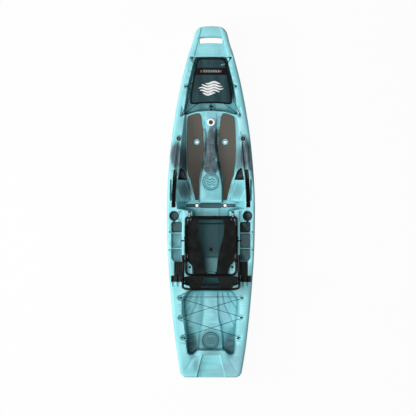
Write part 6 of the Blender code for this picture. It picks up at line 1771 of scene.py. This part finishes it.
def make_floor(size=40.0, seen_as_paper=0.94):
    """Pale floor that keeps the shadow: mostly a plain glow where the camera or a gloss sees it."""
    mesh = bpy.data.meshes.new("floor")
    corners = [(-size, -size, 0), (size, -size, 0), (size, size, 0), (-size, size, 0)]
    mesh.from_pydata(corners, [], [(0, 1, 2, 3)])
    add_object("floor", mesh, (0, 0, -0.002))
    made = Finish("floor_paper", 0.9)
    made.shader.inputs["Base Color"].default_value = (0.45, 0.45, 0.45, 1)
    glow = made.node("ShaderNodeEmission", None, {"Color": (1, 1, 1, 1), "Strength": 1.02})
    light = made.tree.nodes.new("ShaderNodeLightPath")
    camera, glossy = (Value(made, light.outputs[f"Is {kind} Ray"]) for kind in ("Camera", "Glossy"))
    share = camera.math("MAXIMUM", glossy) * seen_as_paper
    paper = Value(made, made.shader.outputs[0])
    blend = made.node("ShaderNodeMixShader", None, {0: share, 1: paper, 2: glow})
    made.tree.links.new(blend.socket, made.tree.nodes["Material Output"].inputs[0])
    mesh.materials.append(made.material)


def make_world(scene, ambient=0.12):
    """White to the camera, and a weak light from all round to the rest."""
    world = bpy.data.worlds.new("studio")
    scene.world = world
    world.use_nodes = True
    tree = world.node_tree
    back = tree.nodes["Background"]
    back.inputs["Color"].default_value = (1, 1, 1, 1)
    path = tree.nodes.new("ShaderNodeLightPath")
    seen = tree.nodes.new("ShaderNodeMath")
    seen.operation = "MULTIPLY_ADD"
    tree.links.new(path.outputs["Is Camera Ray"], seen.inputs[0])
    seen.inputs[1].default_value = 1.0 - ambient
    seen.inputs[2].default_value = ambient
    tree.links.new(seen.outputs[0], back.inputs["Strength"])


def make_stage():
    """Floor and world, soft lamps from the upper left, and a long lens straight above."""
    scene = bpy.context.scene
    scene.view_settings.view_transform = "Standard"
    make_floor()
    make_world(scene)
    for name, place, size, energy in (
        ("key", (-7.7, -0.3, 4.5), 3.0, 470.0), ("overhead", (-2.6, -0.6, 7.6), 5.0, 450.0),
    ):
        data = bpy.data.lights.new(name, "AREA")
        data.size = size
        data.energy = energy
        lamp = add_object(name, data, place)
        lamp.rotation_euler = (-Vector(place)).to_track_quat("-Z", "Y").to_euler()

    sensor, distance, seen_width = 36.0, 22.0, 4.16
    data = bpy.data.cameras.new("camera")
    data.sensor_width = sensor
    data.lens = sensor * distance / seen_width
    data.clip_end = 200.0
    scene.camera = add_object("camera", data, (-0.03, -0.059, 0.3 + distance))


make_stage()
make_cord("stern_bungee", "stern_cord", stern_route(), stern_knots)
make_cord("bow_bungee", "bow_cover_cord", bow_route(), bow_bell)

hull = mesh_object("hull_skin", make_hull())
reduce_mesh(hull, KEPT_SHARE)
points = np.zeros(len(hull.data.vertices) * 3, np.float32)
hull.data.vertices.foreach_get("co", points)
points = points.reshape(-1, 3).astype(float)
hollow_shade, edge_highlight, on_top = deck_relief(points)
deep_shade = deep_places(points, on_top)
for key, value in (("hollow_shade", hollow_shade), ("edge_highlight", edge_highlight), ("deep_shade", deep_shade), ("on_top", on_top)):
    float_attribute(hull.data, key, value)
smooth(hull.data, HULL_SHARP)
hull.data.materials.append(hull_finish())
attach(hull, "hull")
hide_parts("hull")

make_bow_cover()
make_seat_sling()
make_back_sling()
for word, side in BOTH:
    make_foot_pad(word, side)
    make_recline_strap(word, side)
    make_rod_pad(word, side)
    make_bracket_strap(word, side)
    make_tie_loop(word, side)
make_screws()
